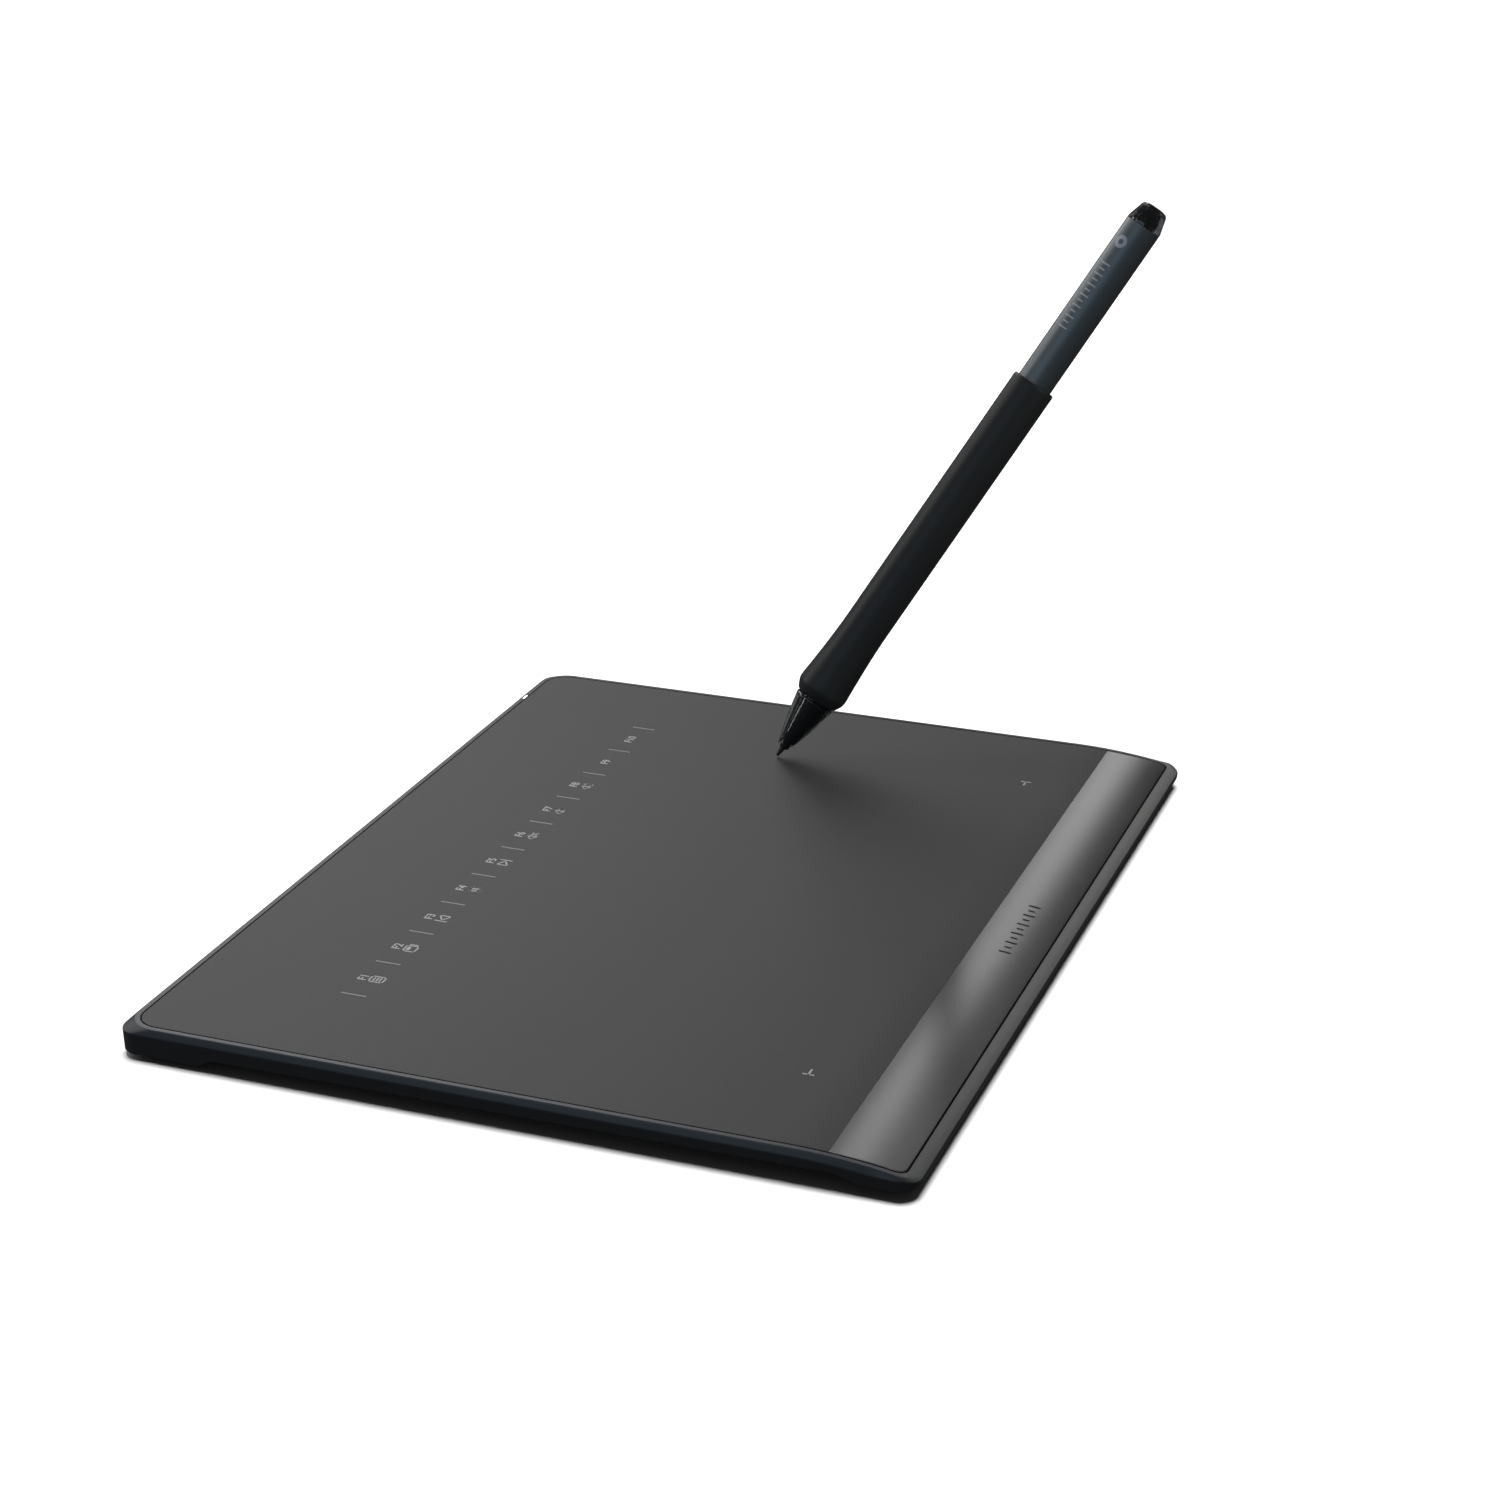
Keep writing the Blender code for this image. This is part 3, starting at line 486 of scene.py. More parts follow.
def make_pen(finish):
    """The pen's outer pieces and buttons. Each profile holds (radius, s, bend) in mm."""
    pen = pen_matrix()

    def part(name, profile, body, slot, material, *nodes, sharp=35):
        obj = turned(name, softened(flat(profile)), pen, sharp=sharp)
        obj.data.materials.append(material)
        return show(obj, body, slot, *nodes)

    tip = [(0.5 * math.sin(a), 0.5 - 0.5 * math.cos(a), 0) for a in quarter(6)]
    shank = [(0.84, 2.5, 0.3), (0.84, 6.0, 0), (0.7, 6.4, 0), (0.7, 30.4, 0), (0, 30.6, 0)]
    part("nib_rod", tip + shank, "nib", "nib_plastic", finish["nib"], "pen_nib")

    outside = [(1.3, 2.8, 0.1), (1.75, 3.15, 0.25), (2.0, 3.7, 0.4), (2.3, 4.8, 0.6), (3.2, 7.8, 1.2)]
    outside += [(4.04, 10.8, 1.5), (4.9, 14.6, 1.5), (5.62, 18.2, 0.2), (5.68, 18.55, 0.1)]
    outside += [(5.5, 18.85, 0.1), (3.95, 18.85, 0), (3.95, 25.0, 0.1)]
    inside = [(3.4, 25.0, 0), (3.4, 19.4, 0.3), (4.1, 18.2, 0.5), (2.75, 10.8, 1.0), (1.65, 5.0, 0.3)]
    inside += [(1.14, 4.4, 0.1), (1.14, 2.8, 0)]
    part("smoked_nose", outside + inside, "pen", "smoked_plastic", finish["smoke"], "nose_cone")

    outside = [(1.5, 5.6, 0), (1.6, 6.9, 0.1), (1.6, 7.4, 0.1), (1.95, 7.7, 0.1), (2.5, 10.8, 0.5)]
    outside += [(3.6, 17.0, 0.3), (3.6, 17.8, 0.1)]
    inside = [(2.15, 17.8, 0), (2.15, 10.5, 0.1), (1.15, 9.5, 0.1), (1.15, 5.6, 0)]
    part("nib_guide", outside + inside, "pen", "dark_resin", finish["inner"], "inner_cone")

    profile = [(4.25, BARREL_START, 0), (BARREL_RADIUS, BARREL_START, 0.2)]
    profile += [(BARREL_RADIUS, BARREL_END, 0.06), (4.25, BARREL_END, 0)]
    tube = part("barrel_tube", profile, "pen", "barrel_paint", finish["barrel"], "barrel")
    cut(tube, cutter("barrel_slots", button_bars(pen)))

    front = [(SLEEVE_BORE, 19.25, 0), (5.6, 19.25, 0.1), (5.95, 19.4, 0.2), (6.65, 20.6, 0.5)]
    front += [(7.12, 21.7, 0.6), (7.27, 22.4, 0.5), (7.24, 23.5, 0.6), (7.1, 25.3, 1.0)]
    waist = [(6.91, 27.9, 1.5), (6.68, 31.5, 2.0), (6.48, 35.0, 2.0), (6.33, 38.5, 2.0), (6.24, 42.0, 2.0)]
    rear = [(6.225, 46.0, 2.0), (6.225, 123.7, 0.85), (SLEEVE_BORE, 123.7, 0)]
    sleeve = part("soft_sleeve", front + waist + rear, "pen", "soft_grip", finish["grip"], "grip_sleeve")
    cut(sleeve, cutter("sleeve_slots", button_bars(pen)))

    spigot = [(0, 178.9, 0), (2.5, 178.5, 0.4), (3.3, 176.5, 0.5), (3.3, 168.0, 0), (3.95, 168.0, 0.1)]
    spigot += [(3.95, 174.05, 0), (5.0, 174.05, 0.05), (5.07, 174.15, 0.05), (5.07, 174.8, 0.2)]
    crown = [(4.45, 177.0, 1.0), (3.75, 179.6, 0.9), (2.4, 180.1, 0.6), (0, 180.2, 0)]
    part("smoked_tail", spigot + crown, "pen", "smoked_plastic", finish["smoke"], "tail_cap")

    plug = [(0, 166.0, 0), (2.9, 166.0, 0.1), (2.9, 174.6, 0.1), (2.3, 174.6, 0.1), (2.3, 175.3, 0.1)]
    plug += [(2.9, 175.3, 0.1), (2.9, 176.2, 0.1), (2.0, 176.2, 0.1), (2.0, 177.6, 0.2), (0, 177.6, 0)]
    part("tail_core", plug, "pen", "dark_resin", finish["inner"], "tail_plug")
    make_buttons(pen, finish["button"])
    return pen


def button_bars(pen):
    """Bars along the pen's X through the two button slots."""
    width, length = BUTTON_WIDTH + 2 * BUTTON_GAP, BUTTON_LENGTH + 2 * BUTTON_GAP
    outline = rounded_rectangle(width * MM, length * MM, SLOT_CORNER * MM)
    places = [pen @ facing_x(along_pen(pen, node)) for node in BUTTON_BODIES]
    return [(outline, SLOT_LOW * MM, SLOT_HIGH * MM, place) for place in places]


def along_pen(pen, node):
    """Distance along the pen's axis of the middle of a node."""
    inverse = pen.inverted()
    along = [(inverse @ v.co).z for v in frame["nodes"][node].data.vertices]
    return (min(along) + max(along)) / 2


def facing_x(s):
    """Stands a shape on the pen's axis at s, its Z along the pen's X and its Y along the axis."""
    turn = Matrix(((0, 0, 1), (1, 0, 0), (0, 1, 0))).to_4x4()
    return Matrix.Translation((0, 0, s)) @ turn


def make_buttons(pen, finish):
    """Domed keys: the CAD key's block with a crowned, finely rounded top."""
    for node, body in BUTTON_BODIES.items():
        bm = bmesh.new()
        outline = rounded_rectangle(BUTTON_WIDTH * MM, BUTTON_LENGTH * MM, BUTTON_CORNER * MM, 8)
        prism(bm, outline, BUTTON_LOW * MM, BUTTON_HIGH * MM)
        rim = [e for e in bm.edges if all(v.co.z > (BUTTON_HIGH - BUTTON_EDGE) * MM for v in e.verts)]
        bmesh.ops.bevel(
            bm, geom=rim, offset=BUTTON_EDGE * MM, segments=6, profile=0.6, affect="EDGES"
        )
        bmesh.ops.transform(bm, matrix=facing_x(along_pen(pen, node)), verts=bm.verts)
        obj = weighted(new_object(node + "_key", mesh_from(bm, node), pen))
        obj.data.materials.append(finish)
        show(obj, body, "button_plastic", node)


# ---------------------------------------------------------------- print


def stroke(bm, points, width, closed=False):
    """A flat line of the given width through points, with square joints, as thin solids."""
    runs = list(zip(points, points[1:] + points[:1])) if closed else list(zip(points, points[1:]))
    for a, b in runs:
        a, b = Vector(a), Vector(b)
        along = (b - a).normalized() * width / 2
        side = Vector((-along.y, along.x))
        outline = [a - along - side, b + along - side, b + along + side, a - along + side]
        filled(bm, [(p.x, p.y) for p in outline])


def filled(bm, points):
    prism(bm, points, INK_LEVEL, INK_LEVEL + INK)


def ink_object(name, bm, finish):
    obj = new_object(name, mesh_from(bm, name))
    obj.data.materials.append(finish)
    return show(obj, "tablet", "light_pipe")


def key_middle(number):
    return MIDDLE_X + (number - 5.5) * KEY_PITCH


def make_dividers(finish):
    """Eleven short lines on either side of the ten keys."""
    bm = bmesh.new()
    for line in range(11):
        x = MIDDLE_X + (line - 5) * KEY_PITCH
        left, right = x - DIVIDER_WIDTH / 2, x + DIVIDER_WIDTH / 2
        front = KEY_BACK - DIVIDER_LENGTH
        filled(bm, [(left, front), (right, front), (right, KEY_BACK), (left, KEY_BACK)])
    ink_object("key_dividers", bm, finish)


def make_labels(finish):
    """F1 to F10, one small mesh text each. A label with no icon sits lower."""
    for number in range(1, 11):
        curve = bpy.data.curves.new(f"label_{number}", "FONT")
        curve.body = f"F{number}"
        curve.size = LABEL_SIZE
        curve.align_x = "CENTER"
        curve.extrude = INK / 2
        curve.offset = LABEL_BOLD
        text = bpy.data.objects.new(f"key_label_f{number}", curve)
        bpy.context.scene.collection.objects.link(text)
        bpy.context.view_layer.update()
        graph = bpy.context.evaluated_depsgraph_get()
        mesh = bpy.data.meshes.new_from_object(text.evaluated_get(graph))
        bpy.data.objects.remove(text)
        low = KEY_BACK - LABEL_DROP - (PLAIN_LABEL_DROP if number > LAST_ICON else 0)
        place = Matrix.Translation((key_middle(number), low, INK_LEVEL + INK / 2))
        obj = new_object(f"key_label_f{number}", mesh, place)
        mesh.materials.clear()
        mesh.materials.append(finish)
        show(obj, "tablet", "light_pipe")


def arc_points(radius, degrees, x=0.0):
    return [(x + radius * math.cos(a), radius * math.sin(a)) for a in map(math.radians, degrees)]


def ring_points(radius, count=24):
    return arc_points(radius, [360 * i / count for i in range(count)])


def icon_strokes(number):
    """The strokes of a key's pictogram, as (points in mm about its middle, width, closed)."""
    if number == 1:  # a sheet of lines
        frame_line = [(-1.4, -1.8), (1.4, -1.8), (1.4, 1.8), (-1.4, 1.8)]
        return [(frame_line, LINE, True)] + [([(-0.7, y), (0.7, y)], LINE, False) for y in (-0.8, 0.0, 0.8)]
    if number == 2:  # a window with a filled bar
        frame_line = [(-1.7, -1.5), (1.3, -1.5), (1.3, 1.5), (-1.7, 1.5)]
        bar = ([(-0.65, 0.55), (0.25, 0.55)], 0.9, False)
        return [(frame_line, LINE, True), bar, ([(1.9, -0.9), (1.9, 0.9)], LINE, False)]
    if number in (3, 5):  # skip back, skip ahead
        side = 1 if number == 3 else -1
        arrow = [(side * 1.5, -1.5), (side * 1.5, 1.5), (side * -0.9, 0)]
        return [(arrow, LINE, True), ([(side * -1.5, -1.5), (side * -1.5, 1.5)], LINE, False)]
    if number == 4:  # play and pause in a ring
        strokes = [(ring_points(1.75), LINE * 0.9, True)]
        strokes.append(([(-0.75, -0.8), (-0.75, 0.8), (0.25, 0)], LINE * 0.8, True))
        return strokes + [([(x, -0.75), (x, 0.75)], LINE * 0.8, False) for x in (0.5, 0.95)]
    # a speaker: silent on key 6, with one wave on key 7 and two on key 8
    horn = [(-1.7, -0.55), (-0.9, -0.55), (0.0, -1.4), (0.0, 1.4), (-0.9, 0.55), (-1.7, 0.55)]
    strokes = [(horn, LINE, True)]
    if number == 6:
        strokes += [([(0.7, -tip), (1.9, tip)], LINE, False) for tip in (0.7, -0.7)]
    for wave in range(number - 6):
        strokes.append((arc_points(0.9 + 0.65 * wave, range(-50, 51, 20), 0.3), LINE, False))
    return strokes


def make_icons(finish):
    """Eight small pictograms under the first eight labels."""
    bm = bmesh.new()
    for number in range(1, LAST_ICON + 1):
        x0, y0 = key_middle(number), KEY_BACK - ICON_DROP
        for points, width, closed in icon_strokes(number):
            stroke(bm, [(x0 + x * MM, y0 + y * MM) for x, y in points], width * MM, closed)
    ink_object("key_icons", bm, finish)


def raised(bm, quads, place):
    """One thin closed solid from flat quads, laid on a surface by place((u, v), height)."""
    made = {}
    rims = set()

    def vert(point, height):
        key = round(point[0], 8), round(point[1], 8), height
        if key not in made:
            made[key] = bm.verts.new(place(point, height))
        return made[key]

    for quad in quads:
        bm.faces.new([vert(point, INK) for point in quad])
        bm.faces.new([vert(point, 0) for point in reversed(quad)])
        for a, b in zip(quad, quad[1:] + quad[:1]):
            if (b, a) in rims:
                rims.remove((b, a))
            else:
                rims.add((a, b))
    for a, b in rims:
        bm.faces.new([vert(a, INK), vert(a, 0), vert(b, 0), vert(b, INK)])


def tick_quads(length, tall, short, count, half_width, middle=0.0, steps=8):
    """A row of ticks along v, long and short by turns, each split into steps along u."""
    quads = []
    for i in range(count):
        v = middle + length * (i / (count - 1) - 0.5)
        height = short if i % 2 else tall
        left, right = v - half_width, v + half_width
        for j in range(steps):
            low, high = height * (j / steps - 0.5), height * ((j + 1) / steps - 0.5)
            quads.append([(low, left), (high, left), (high, right), (low, right)])
    return quads


def ring_quads(inner, outer, middle, count=40):
    """A flat ring about (0, middle)."""
    quads = []
    for i in range(count):
        turns = (math.tau * i / count, math.tau * (i + 1) / count)
        start, end = ((math.cos(a), math.sin(a)) for a in turns)
        corners = ((inner, start), (outer, start), (outer, end), (inner, end))
        quads.append([(radius * c, middle + radius * s) for radius, (c, s) in corners])
    return quads


def make_band_mark(finish):
    """A plain row of ticks on the front band."""

    def on_band(point, height):
        y = BAND_MARK[1] + point[0]
        return (BAND_MARK[0] + point[1], y, top_z(y) + INK_LIFT + height)

    bm = bmesh.new()
    raised(bm, tick_quads(27 * MM, 3.0 * MM, 1.7 * MM, 11, 0.34 * MM), on_band)
    ink_object("band_ticks", bm, finish)


def make_pen_marks(pen, finish):
    """A plain row of ticks and a ring printed on the barrel."""
    radius = BARREL_RADIUS * MM

    def on_barrel(point, height):
        a = PEN_MARK_TURN + point[0] / radius
        r = radius + INK_LIFT + height
        return (r * math.cos(a), r * math.sin(a), point[1])

    bm = bmesh.new()
    raised(bm, tick_quads(20 * MM, 3.1 * MM, 1.9 * MM, 13, 0.24 * MM, PEN_TICKS_AT), on_barrel)
    raised(bm, ring_quads(0.75 * MM, 1.8 * MM, PEN_RING_AT), on_barrel)
    obj = new_object("pen_ticks", mesh_from(bm, "pen_ticks"), pen)
    obj.data.materials.append(finish)
    show(obj, "pen", "light_pipe")


def make_corner_marks(finish):
    """A T at each front corner of the active area."""
    bm = bmesh.new()
    reach = CORNER_MARK_REACH
    for side in (-1, 1):
        x, y = MIDDLE_X + side * CORNER_MARK[0], CORNER_MARK[1]
        stroke(bm, [(x, y - reach / 2), (x, y + reach / 2)], CORNER_MARK_WIDTH)
        stroke(bm, [(x, y), (x - side * reach, y)], CORNER_MARK_WIDTH)
    ink_object("active_area_marks", bm, finish)


# ---------------------------------------------------------------- materials

NOISE_LOW, NOISE_HIGH = 0.3, 0.7  # a noise texture's values lie mostly between these
MIX_DARK, MIX_LIGHT, MIX_RESULT = 6, 7, 2  # the colour sockets of a Mix node, by number
DRIFT_SCALE, HAZE_SCALE, INK_SCALE, FLOOR_SCALE = 45.0, 400.0, 9000.0, 3.0
GLOSS_DRIFT = 0.04
GRAIN_STRENGTH = 0.6


def new_material(name, color, roughness, metallic=0.0, specular=0.5):
    made = bpy.data.materials.new(name)
    made.use_nodes = True
    shader = made.node_tree.nodes["Principled BSDF"]
    shader.inputs["Base Color"].default_value = (*color, 1)
    shader.inputs["Roughness"].default_value = roughness
    shader.inputs["Metallic"].default_value = metallic
    shader.inputs["Specular IOR Level"].default_value = specular
    return made, made.node_tree, shader


def noise(tree, scale, detail=2.0, roughness=0.5):
    coordinates = tree.nodes.new("ShaderNodeTexCoord")
    texture = tree.nodes.new("ShaderNodeTexNoise")
    texture.inputs["Scale"].default_value = scale
    texture.inputs["Detail"].default_value = detail
    texture.inputs["Roughness"].default_value = roughness
    tree.links.new(coordinates.outputs["Object"], texture.inputs["Vector"])
    return texture


def ramp(tree, value, low, high, target):
    """Maps a noise value to low..high and plugs it into the target socket."""
    node = tree.nodes.new("ShaderNodeMapRange")
    node.inputs["From Min"].default_value = NOISE_LOW
    node.inputs["From Max"].default_value = NOISE_HIGH
    node.inputs["To Min"].default_value = low
    node.inputs["To Max"].default_value = high
    tree.links.new(value, node.inputs["Value"])
    tree.links.new(node.outputs["Result"], target)


def tint(tree, shader, value, dark, light):
    """Colour between dark and light by a 0..1 value."""
    node = tree.nodes.new("ShaderNodeMix")
    node.data_type = "RGBA"
    node.inputs[MIX_DARK].default_value = (*dark, 1)
    node.inputs[MIX_LIGHT].default_value = (*light, 1)
    tree.links.new(value, node.inputs[0])
    tree.links.new(node.outputs[MIX_RESULT], shader.inputs["Base Color"])


def bump(tree, shader, height, strength, distance):
    node = tree.nodes.new("ShaderNodeBump")
    node.inputs["Strength"].default_value = strength
    node.inputs["Distance"].default_value = distance
    tree.links.new(height, node.inputs["Height"])
    tree.links.new(node.outputs["Normal"], shader.inputs["Normal"])


def grained(name, color, roughness, grain, depth, spread=0.12, metallic=0.0, specular=0.5):
    """A moulded or painted surface: fine grain, and a slight drift of colour. Grain and depth are in mm."""
    made, tree, shader = new_material(name, color, roughness, metallic, specular)
    fine = noise(tree, 1 / (grain * MM), 2.0)
    broad = noise(tree, DRIFT_SCALE, 3.0)
    dark, light = (tuple(c * (1 + change) for c in color) for change in (-spread, spread))
    tint(tree, shader, broad.outputs["Fac"], dark, light)
    low, high = roughness - GLOSS_DRIFT, roughness + GLOSS_DRIFT
    ramp(tree, fine.outputs["Fac"], low, high, shader.inputs["Roughness"])
    bump(tree, shader, fine.outputs["Fac"], GRAIN_STRENGTH, depth * MM)
    return made


def smoked_plastic():
    made, tree, shader = new_material("smoked_clear", (0.08, 0.082, 0.086), 0.06)
    shader.inputs["Transmission Weight"].default_value = 0.85
    shader.inputs["IOR"].default_value = 1.49
    haze = noise(tree, HAZE_SCALE, 2.0)
    ramp(tree, haze.outputs["Fac"], 0.04, 0.09, shader.inputs["Roughness"])
    return made


def lit_plastic():
    made = grained("milky_light_pipe", (0.85, 0.85, 0.85), 0.35, 0.3, 0.002, spread=0.03)
    shader = made.node_tree.nodes["Principled BSDF"]
    shader.inputs["Emission Color"].default_value = (1, 1, 1, 1)
    shader.inputs["Emission Strength"].default_value = 2.0
    return made


def ink(name, color, specular=0.5):
    made, tree, shader = new_material(name, color, 0.55, specular=specular)
    speck = noise(tree, INK_SCALE, 1.0)
    tint(tree, shader, speck.outputs["Fac"], tuple(c * 0.86 for c in color), color)
    return made


def make_finishes():
    """Every finish by its short name. Roughness, grain size and grain depth follow the linear colour."""
    return {
        "case": grained(
            "case_plastic_fine", (0.047, 0.051, 0.057), 0.42, 0.25, 0.004, spread=0.04, specular=0.3
        ),
        "surface": grained(
            "drawing_sheet_tooth", (0.045, 0.045, 0.0455), 0.55, 0.18, 0.006, spread=0.03, specular=0.35
        ),
        "band": grained(
            "satin_band_paint", (0.082, 0.082, 0.084), 0.19, 0.12, 0.001, spread=0.03, specular=0.4
        ),
        "cover": grained("cover_plastic_fine", (0.012, 0.012, 0.013), 0.6, 0.3, 0.01, specular=0.3),
        "rubber": grained("foot_rubber_fine", (0.014, 0.014, 0.014), 0.85, 0.4, 0.01, specular=0.25),
        "screw": grained("screw_black_steel", (0.05, 0.05, 0.055), 0.35, 0.2, 0.003, metallic=1.0),
        "board": grained("board_green_mask", (0.01, 0.09, 0.04), 0.4, 0.5, 0.003),
        "steel": grained("thin_bright_steel", (0.55, 0.55, 0.56), 0.3, 0.3, 0.002, metallic=1.0),
        "inner": grained("dark_resin_fine", (0.012, 0.012, 0.013), 0.38, 0.3, 0.004),
        "ribbon": grained("amber_film", (0.35, 0.2, 0.05), 0.35, 0.4, 0.002),
        "nib": grained("nib_acetal", (0.02, 0.02, 0.02), 0.45, 0.2, 0.003),
        "grip": grained("soft_touch_rubber", (0.021, 0.0215, 0.022), 0.48, 0.22, 0.006, specular=0.22),
        "barrel": grained("barrel_satin_paint", (0.14, 0.15, 0.16), 0.42, 0.15, 0.002, metallic=0.2),
        "button": grained("button_satin", (0.018, 0.018, 0.02), 0.35, 0.2, 0.003),
        "ferrite": grained("ferrite_grey", (0.03, 0.03, 0.032), 0.6, 0.3, 0.01),
        "copper": grained("copper_winding", (0.6, 0.25, 0.1), 0.35, 0.2, 0.01, metallic=1.0),
        "smoke": smoked_plastic(),
        "grey_ink": ink("divider_ink", (0.6, 0.6, 0.6)),
        "light_ink": ink("label_ink", (0.92, 0.92, 0.92)),
        "white_ink": ink("mark_ink", (0.96, 0.96, 0.96)),
        "pen_ink": ink("pen_mark_ink", (0.5, 0.52, 0.56)),
        "band_ink": ink("band_mark_ink", (0.012, 0.012, 0.012), specular=0.2),
        "light": lit_plastic(),
    }


SLOT_FINISH = {
    "case_plastic": "case",
    "drawing_sheet": "surface",
    "satin_band": "band",
    "cover_plastic": "cover",
    "foot_rubber": "rubber",
    "screw_steel": "screw",
    "circuit_board": "board",
    "thin_steel": "steel",
    "dark_resin": "inner",
    "ribbon_film": "ribbon",
    "light_pipe": "light",
    "smoked_plastic": "smoke",
    "nib_plastic": "nib",
    "soft_grip": "grip",
    "barrel_paint": "barrel",
    "button_plastic": "button",
    "ferrite": "ferrite",
    "copper_wire": "copper",
}


def finish_cad_nodes(finish):
    """Every CAD node that stays takes the fine material of its own slot."""
    for entry in frame["record"]["subparts"]:
        obj = frame["nodes"][entry["node"]]
        obj.data.materials.clear()
        obj.data.materials.append(finish[SLOT_FINISH[entry["material_slot"]]])


# ---------------------------------------------------------------- studio

PEN_PIECES = (
    "barrel_tube",
    "soft_sleeve",
    "smoked_nose",
    "nib_guide",
    "smoked_tail",
    "tail_core",
    "nib_rod",
    "pen_ticks",
)
SHADOW_CASTERS = ("case_bezel", "drawing_sheet", "satin_band_strip", "bottom_cover") + tuple(
    f"foot_{end}_{side}" for end in ("back", "front") for side in ("left", "right")
)

# The photo's view of the tablet
CAMERA_PLACE = (MIDDLE_X - 649.9 * MM, -255.1 * MM, 327.2 * MM)
CAMERA_TILT, CAMERA_HEADING = math.radians(67.83), math.radians(-69.60)
CAMERA_LENS, CAMERA_SENSOR = 72.96, 36.0

# A narrow light whose reflection runs along the front band
STRIP_LIGHT = Vector((1.209, 0.169, 0.760))
STRIP_LIGHT_ALONG = Vector((0.866, -0.157, -0.474))

FLOOR_HALF = 6.0
WORLD_LIGHT = 0.07
WASH_POWER, WASH_ANGLE = 8.0, math.radians(34)


def softbox(name, at, aim, size, power, color=(1, 1, 1), along=(0, 0, 1)):
    """An area light at a place, facing aim, with the second of its sizes turned along a direction."""
    light = bpy.data.lights.new(name, "AREA")
    light.shape = "RECTANGLE"
    light.size, light.size_y = size
    light.energy = power
    light.color = color
    obj = bpy.data.objects.new(name, light)
    bpy.context.scene.collection.objects.link(obj)
    obj.location = at
    outward = (Vector(at) - Vector(aim)).normalized()
    up = (Vector(along) - outward * outward.dot(Vector(along))).normalized()
    turn = Matrix((up.cross(outward), up, outward)).transposed().to_4x4()
    obj.matrix_world = Matrix.Translation(at) @ turn
    return obj


def make_floor():
    bm = bmesh.new()
    bmesh.ops.create_grid(bm, x_segments=1, y_segments=1, size=FLOOR_HALF)
    floor = new_object("studio_floor", mesh_from(bm, "studio_floor"))
    made, tree, shader = new_material("studio_floor_white", (0.5, 0.5, 0.5), 0.9, specular=0.0)
    speck = noise(tree, FLOOR_SCALE)
    tint(tree, shader, speck.outputs["Fac"], (0.5, 0.5, 0.5), (0.51, 0.51, 0.51))
    floor.data.materials.append(made)
    floor.visible_glossy = False
    floor.visible_diffuse = False
    return floor


def make_world():
    """White to the camera, and a dimmer grey as light."""
    world = bpy.data.worlds.new("studio")
    bpy.context.scene.world = world
    world.use_nodes = True
    tree = world.node_tree
    tree.nodes.clear()
    out = tree.nodes.new("ShaderNodeOutputWorld")
    mix = tree.nodes.new("ShaderNodeMixShader")
    path = tree.nodes.new("ShaderNodeLightPath")
    seen, lit = tree.nodes.new("ShaderNodeBackground"), tree.nodes.new("ShaderNodeBackground")
    seen.inputs["Color"].default_value = (1, 1, 1, 1)
    lit.inputs["Color"].default_value = (1, 1, 1, 1)
    lit.inputs["Strength"].default_value = WORLD_LIGHT
    tree.links.new(path.outputs["Is Camera Ray"], mix.inputs[0])
    tree.links.new(lit.outputs[0], mix.inputs[1])
    tree.links.new(seen.outputs[0], mix.inputs[2])
    tree.links.new(mix.outputs[0], out.inputs["Surface"])


def polar(azimuth, elevation, distance):
    """A place round the tablet's middle; azimuth is from +X towards +Y, in degrees."""
    a, e = math.radians(azimuth), math.radians(elevation)
    across = distance * math.cos(e)
    return Vector((MIDDLE_X + across * math.cos(a), across * math.sin(a), distance * math.sin(e)))


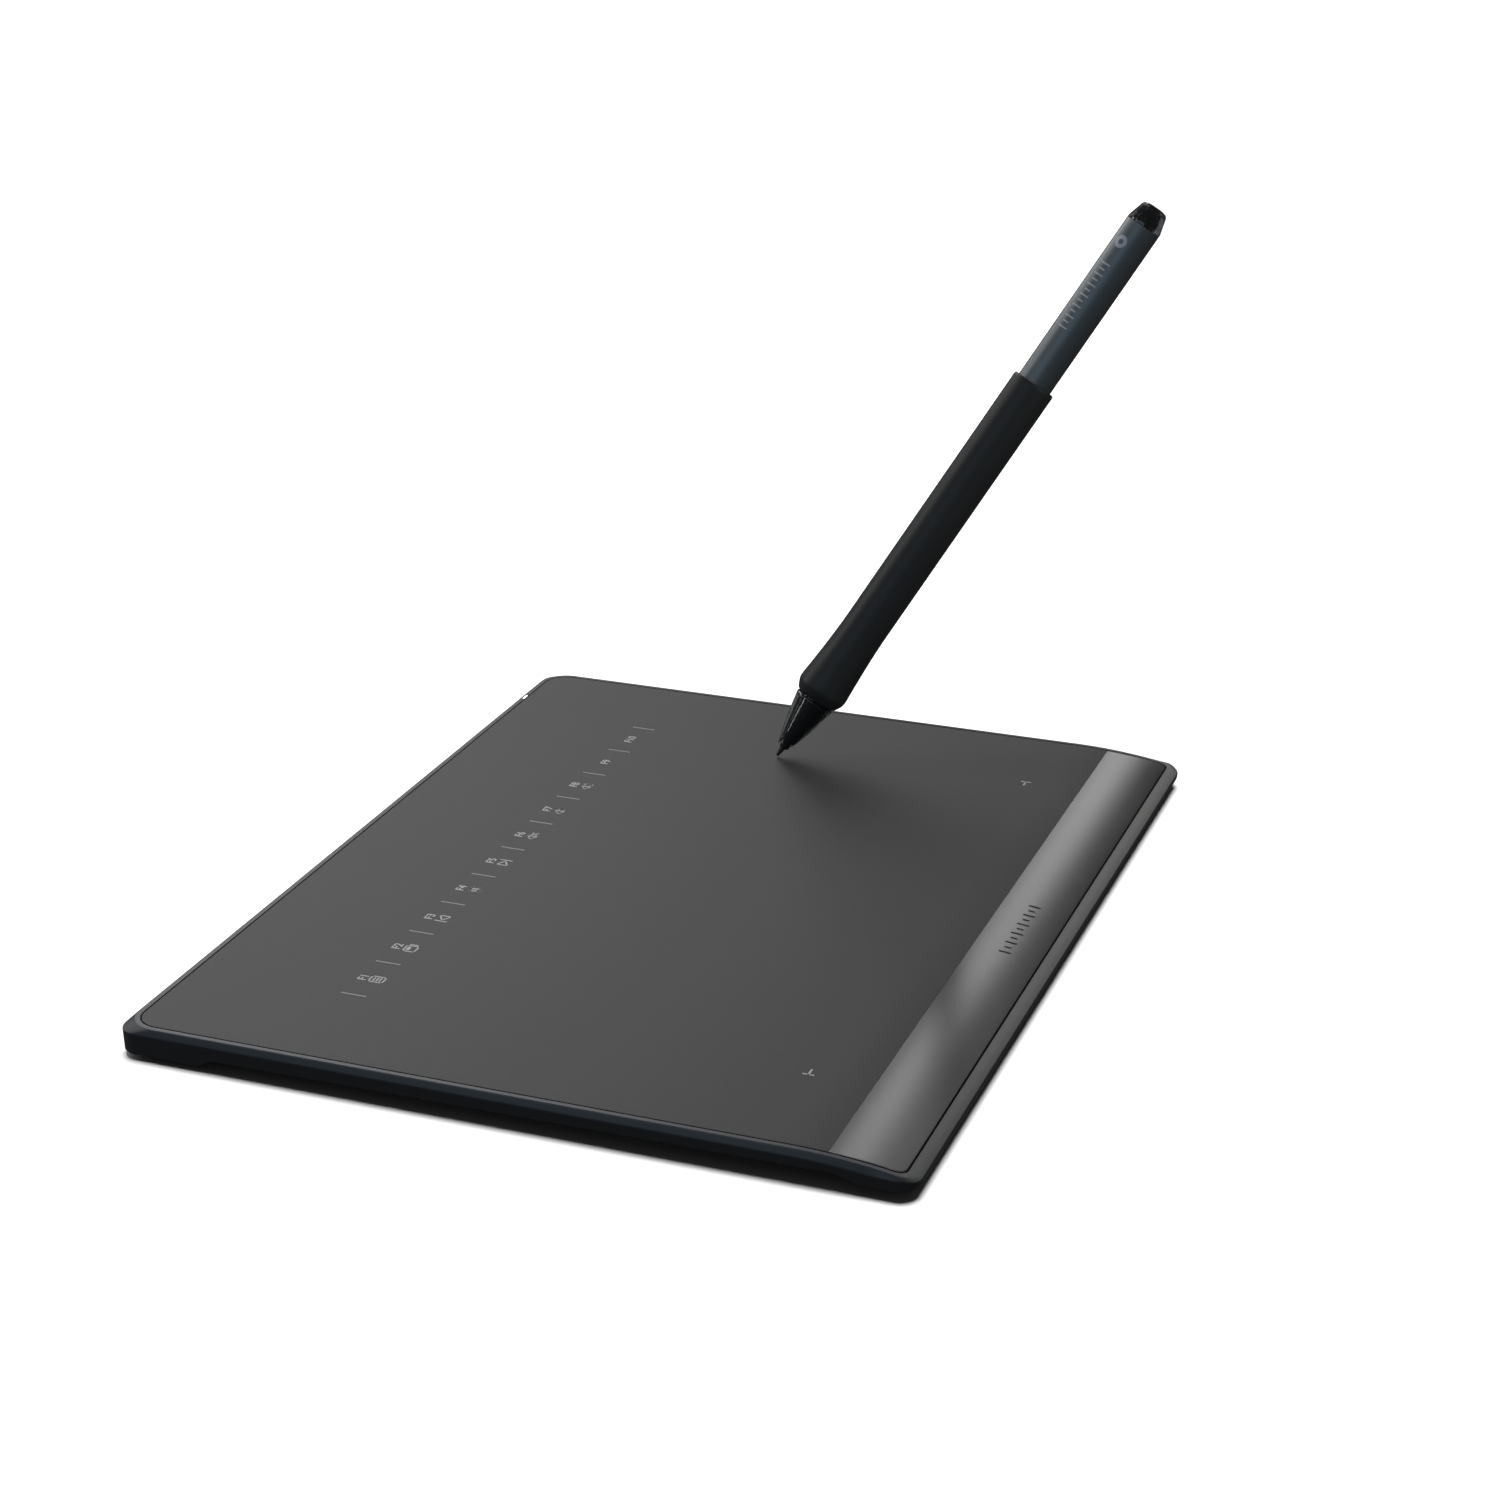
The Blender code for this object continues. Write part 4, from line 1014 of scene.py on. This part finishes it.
def make_lights(floor):
    """The lamps, tuned to the photo's view. Those with receivers light only the pieces they name."""
    centre = Vector((MIDDLE_X, 0, 0))
    blockers = bpy.data.collections.new("tablet_shadow_casters")
    for name in SHADOW_CASTERS:
        blockers.objects.link(bpy.data.objects[name])
    key = softbox("back_softbox", polar(42, 34, 1.3), centre, (0.8, 0.6), 5.7)
    link_light(key, "back_softbox_receivers", ["smoked_tail"], "EXCLUDE")
    softbox("left_softbox", polar(88, 28, 1.1), centre + Vector((0.08, 0, 0.08)), (0.28, 0.7), 3.0)
    strip = softbox("strip_light", STRIP_LIGHT, centre, (0.1, 0.66), 0.75, along=STRIP_LIGHT_ALONG)
    strip.light_linking.blocker_collection = blockers
    near_end = softbox("band_end_lift", polar(2.6, 37, 1.2), centre, (0.22, 0.14), 0.12)
    link_light(near_end, "band_end_receivers", ["satin_band_strip"])
    lift = softbox("sheet_lift", polar(14, 28, 1.4), centre, (0.35, 0.5), 0.8)
    link_light(lift, "sheet_lift_receivers", ["drawing_sheet"])
    front = softbox("front_softbox", polar(-12, 29, 1.3), centre, (0.5, 0.4), 2.6, (1.0, 0.98, 0.93))
    link_light(front, "front_softbox_receivers", ["case_bezel"])
    fill = softbox("high_blue_fill", polar(150, 62, 1.2), centre, (0.5, 0.5), 2.0, (0.55, 0.8, 1.0))
    link_light(fill, "case_fill_receivers", ["case_bezel"])
    pen_fill = softbox("pen_fill", polar(172, 32, 1.0), centre, (0.9, 0.8), 2.4, (0.62, 0.85, 1.0))
    link_light(pen_fill, "pen_fill_receivers", PEN_PIECES)
    sleeve_fill = softbox("sleeve_fill", polar(262, 25, 1.0), centre, (0.8, 0.8), 3.0)
    link_light(sleeve_fill, "sleeve_fill_receivers", ["soft_sleeve"])
    glint = softbox("clear_glint", polar(127, 25, 1.0), centre + Vector((0, 0, 0.05)), (0.08, 1.0), 1.6)
    link_light(glint, "clear_glint_receivers", ["smoked_nose", "smoked_tail"])
    wash = bpy.data.lights.new("floor_wash", "SUN")
    wash.energy = WASH_POWER
    wash.angle = WASH_ANGLE
    lamp = bpy.data.objects.new("floor_wash", wash)
    bpy.context.scene.collection.objects.link(lamp)
    lamp.rotation_euler = polar(0, 82, 1.0).to_track_quat("Z", "Y").to_euler()
    link_light(lamp, "floor_only", [floor.name])
    lamp.light_linking.blocker_collection = blockers


def link_light(lamp, name, receivers, state="INCLUDE"):
    """The lamp lights only the named objects, or all but them."""
    group = bpy.data.collections.new(name)
    for receiver in receivers:
        group.objects.link(bpy.data.objects[receiver])
    for entry in group.collection_objects:
        entry.light_linking.link_state = state
    lamp.light_linking.receiver_collection = group


def make_camera():
    camera = bpy.data.cameras.new("photo_view")
    camera.sensor_width = CAMERA_SENSOR
    camera.lens = CAMERA_LENS
    camera.clip_start, camera.clip_end = 0.01, 20
    obj = bpy.data.objects.new("photo_view", camera)
    bpy.context.scene.collection.objects.link(obj)
    obj.location = CAMERA_PLACE
    obj.rotation_euler = (CAMERA_TILT, 0, CAMERA_HEADING)
    bpy.context.scene.camera = obj


# ---------------------------------------------------------------- scene

finishes = make_finishes()
finish_cad_nodes(finishes)
make_case(finishes["case"])
make_led(finishes["light"])
make_sheets(finishes["surface"], finishes["band"])
pen_place = make_pen(finishes)
make_dividers(finishes["grey_ink"])
make_labels(finishes["light_ink"])
make_icons(finishes["light_ink"])
make_corner_marks(finishes["white_ink"])
make_band_mark(finishes["band_ink"])
make_pen_marks(pen_place, finishes["pen_ink"])
make_world()
make_lights(make_floor())
make_camera()
bpy.context.scene.view_settings.view_transform = "Standard"
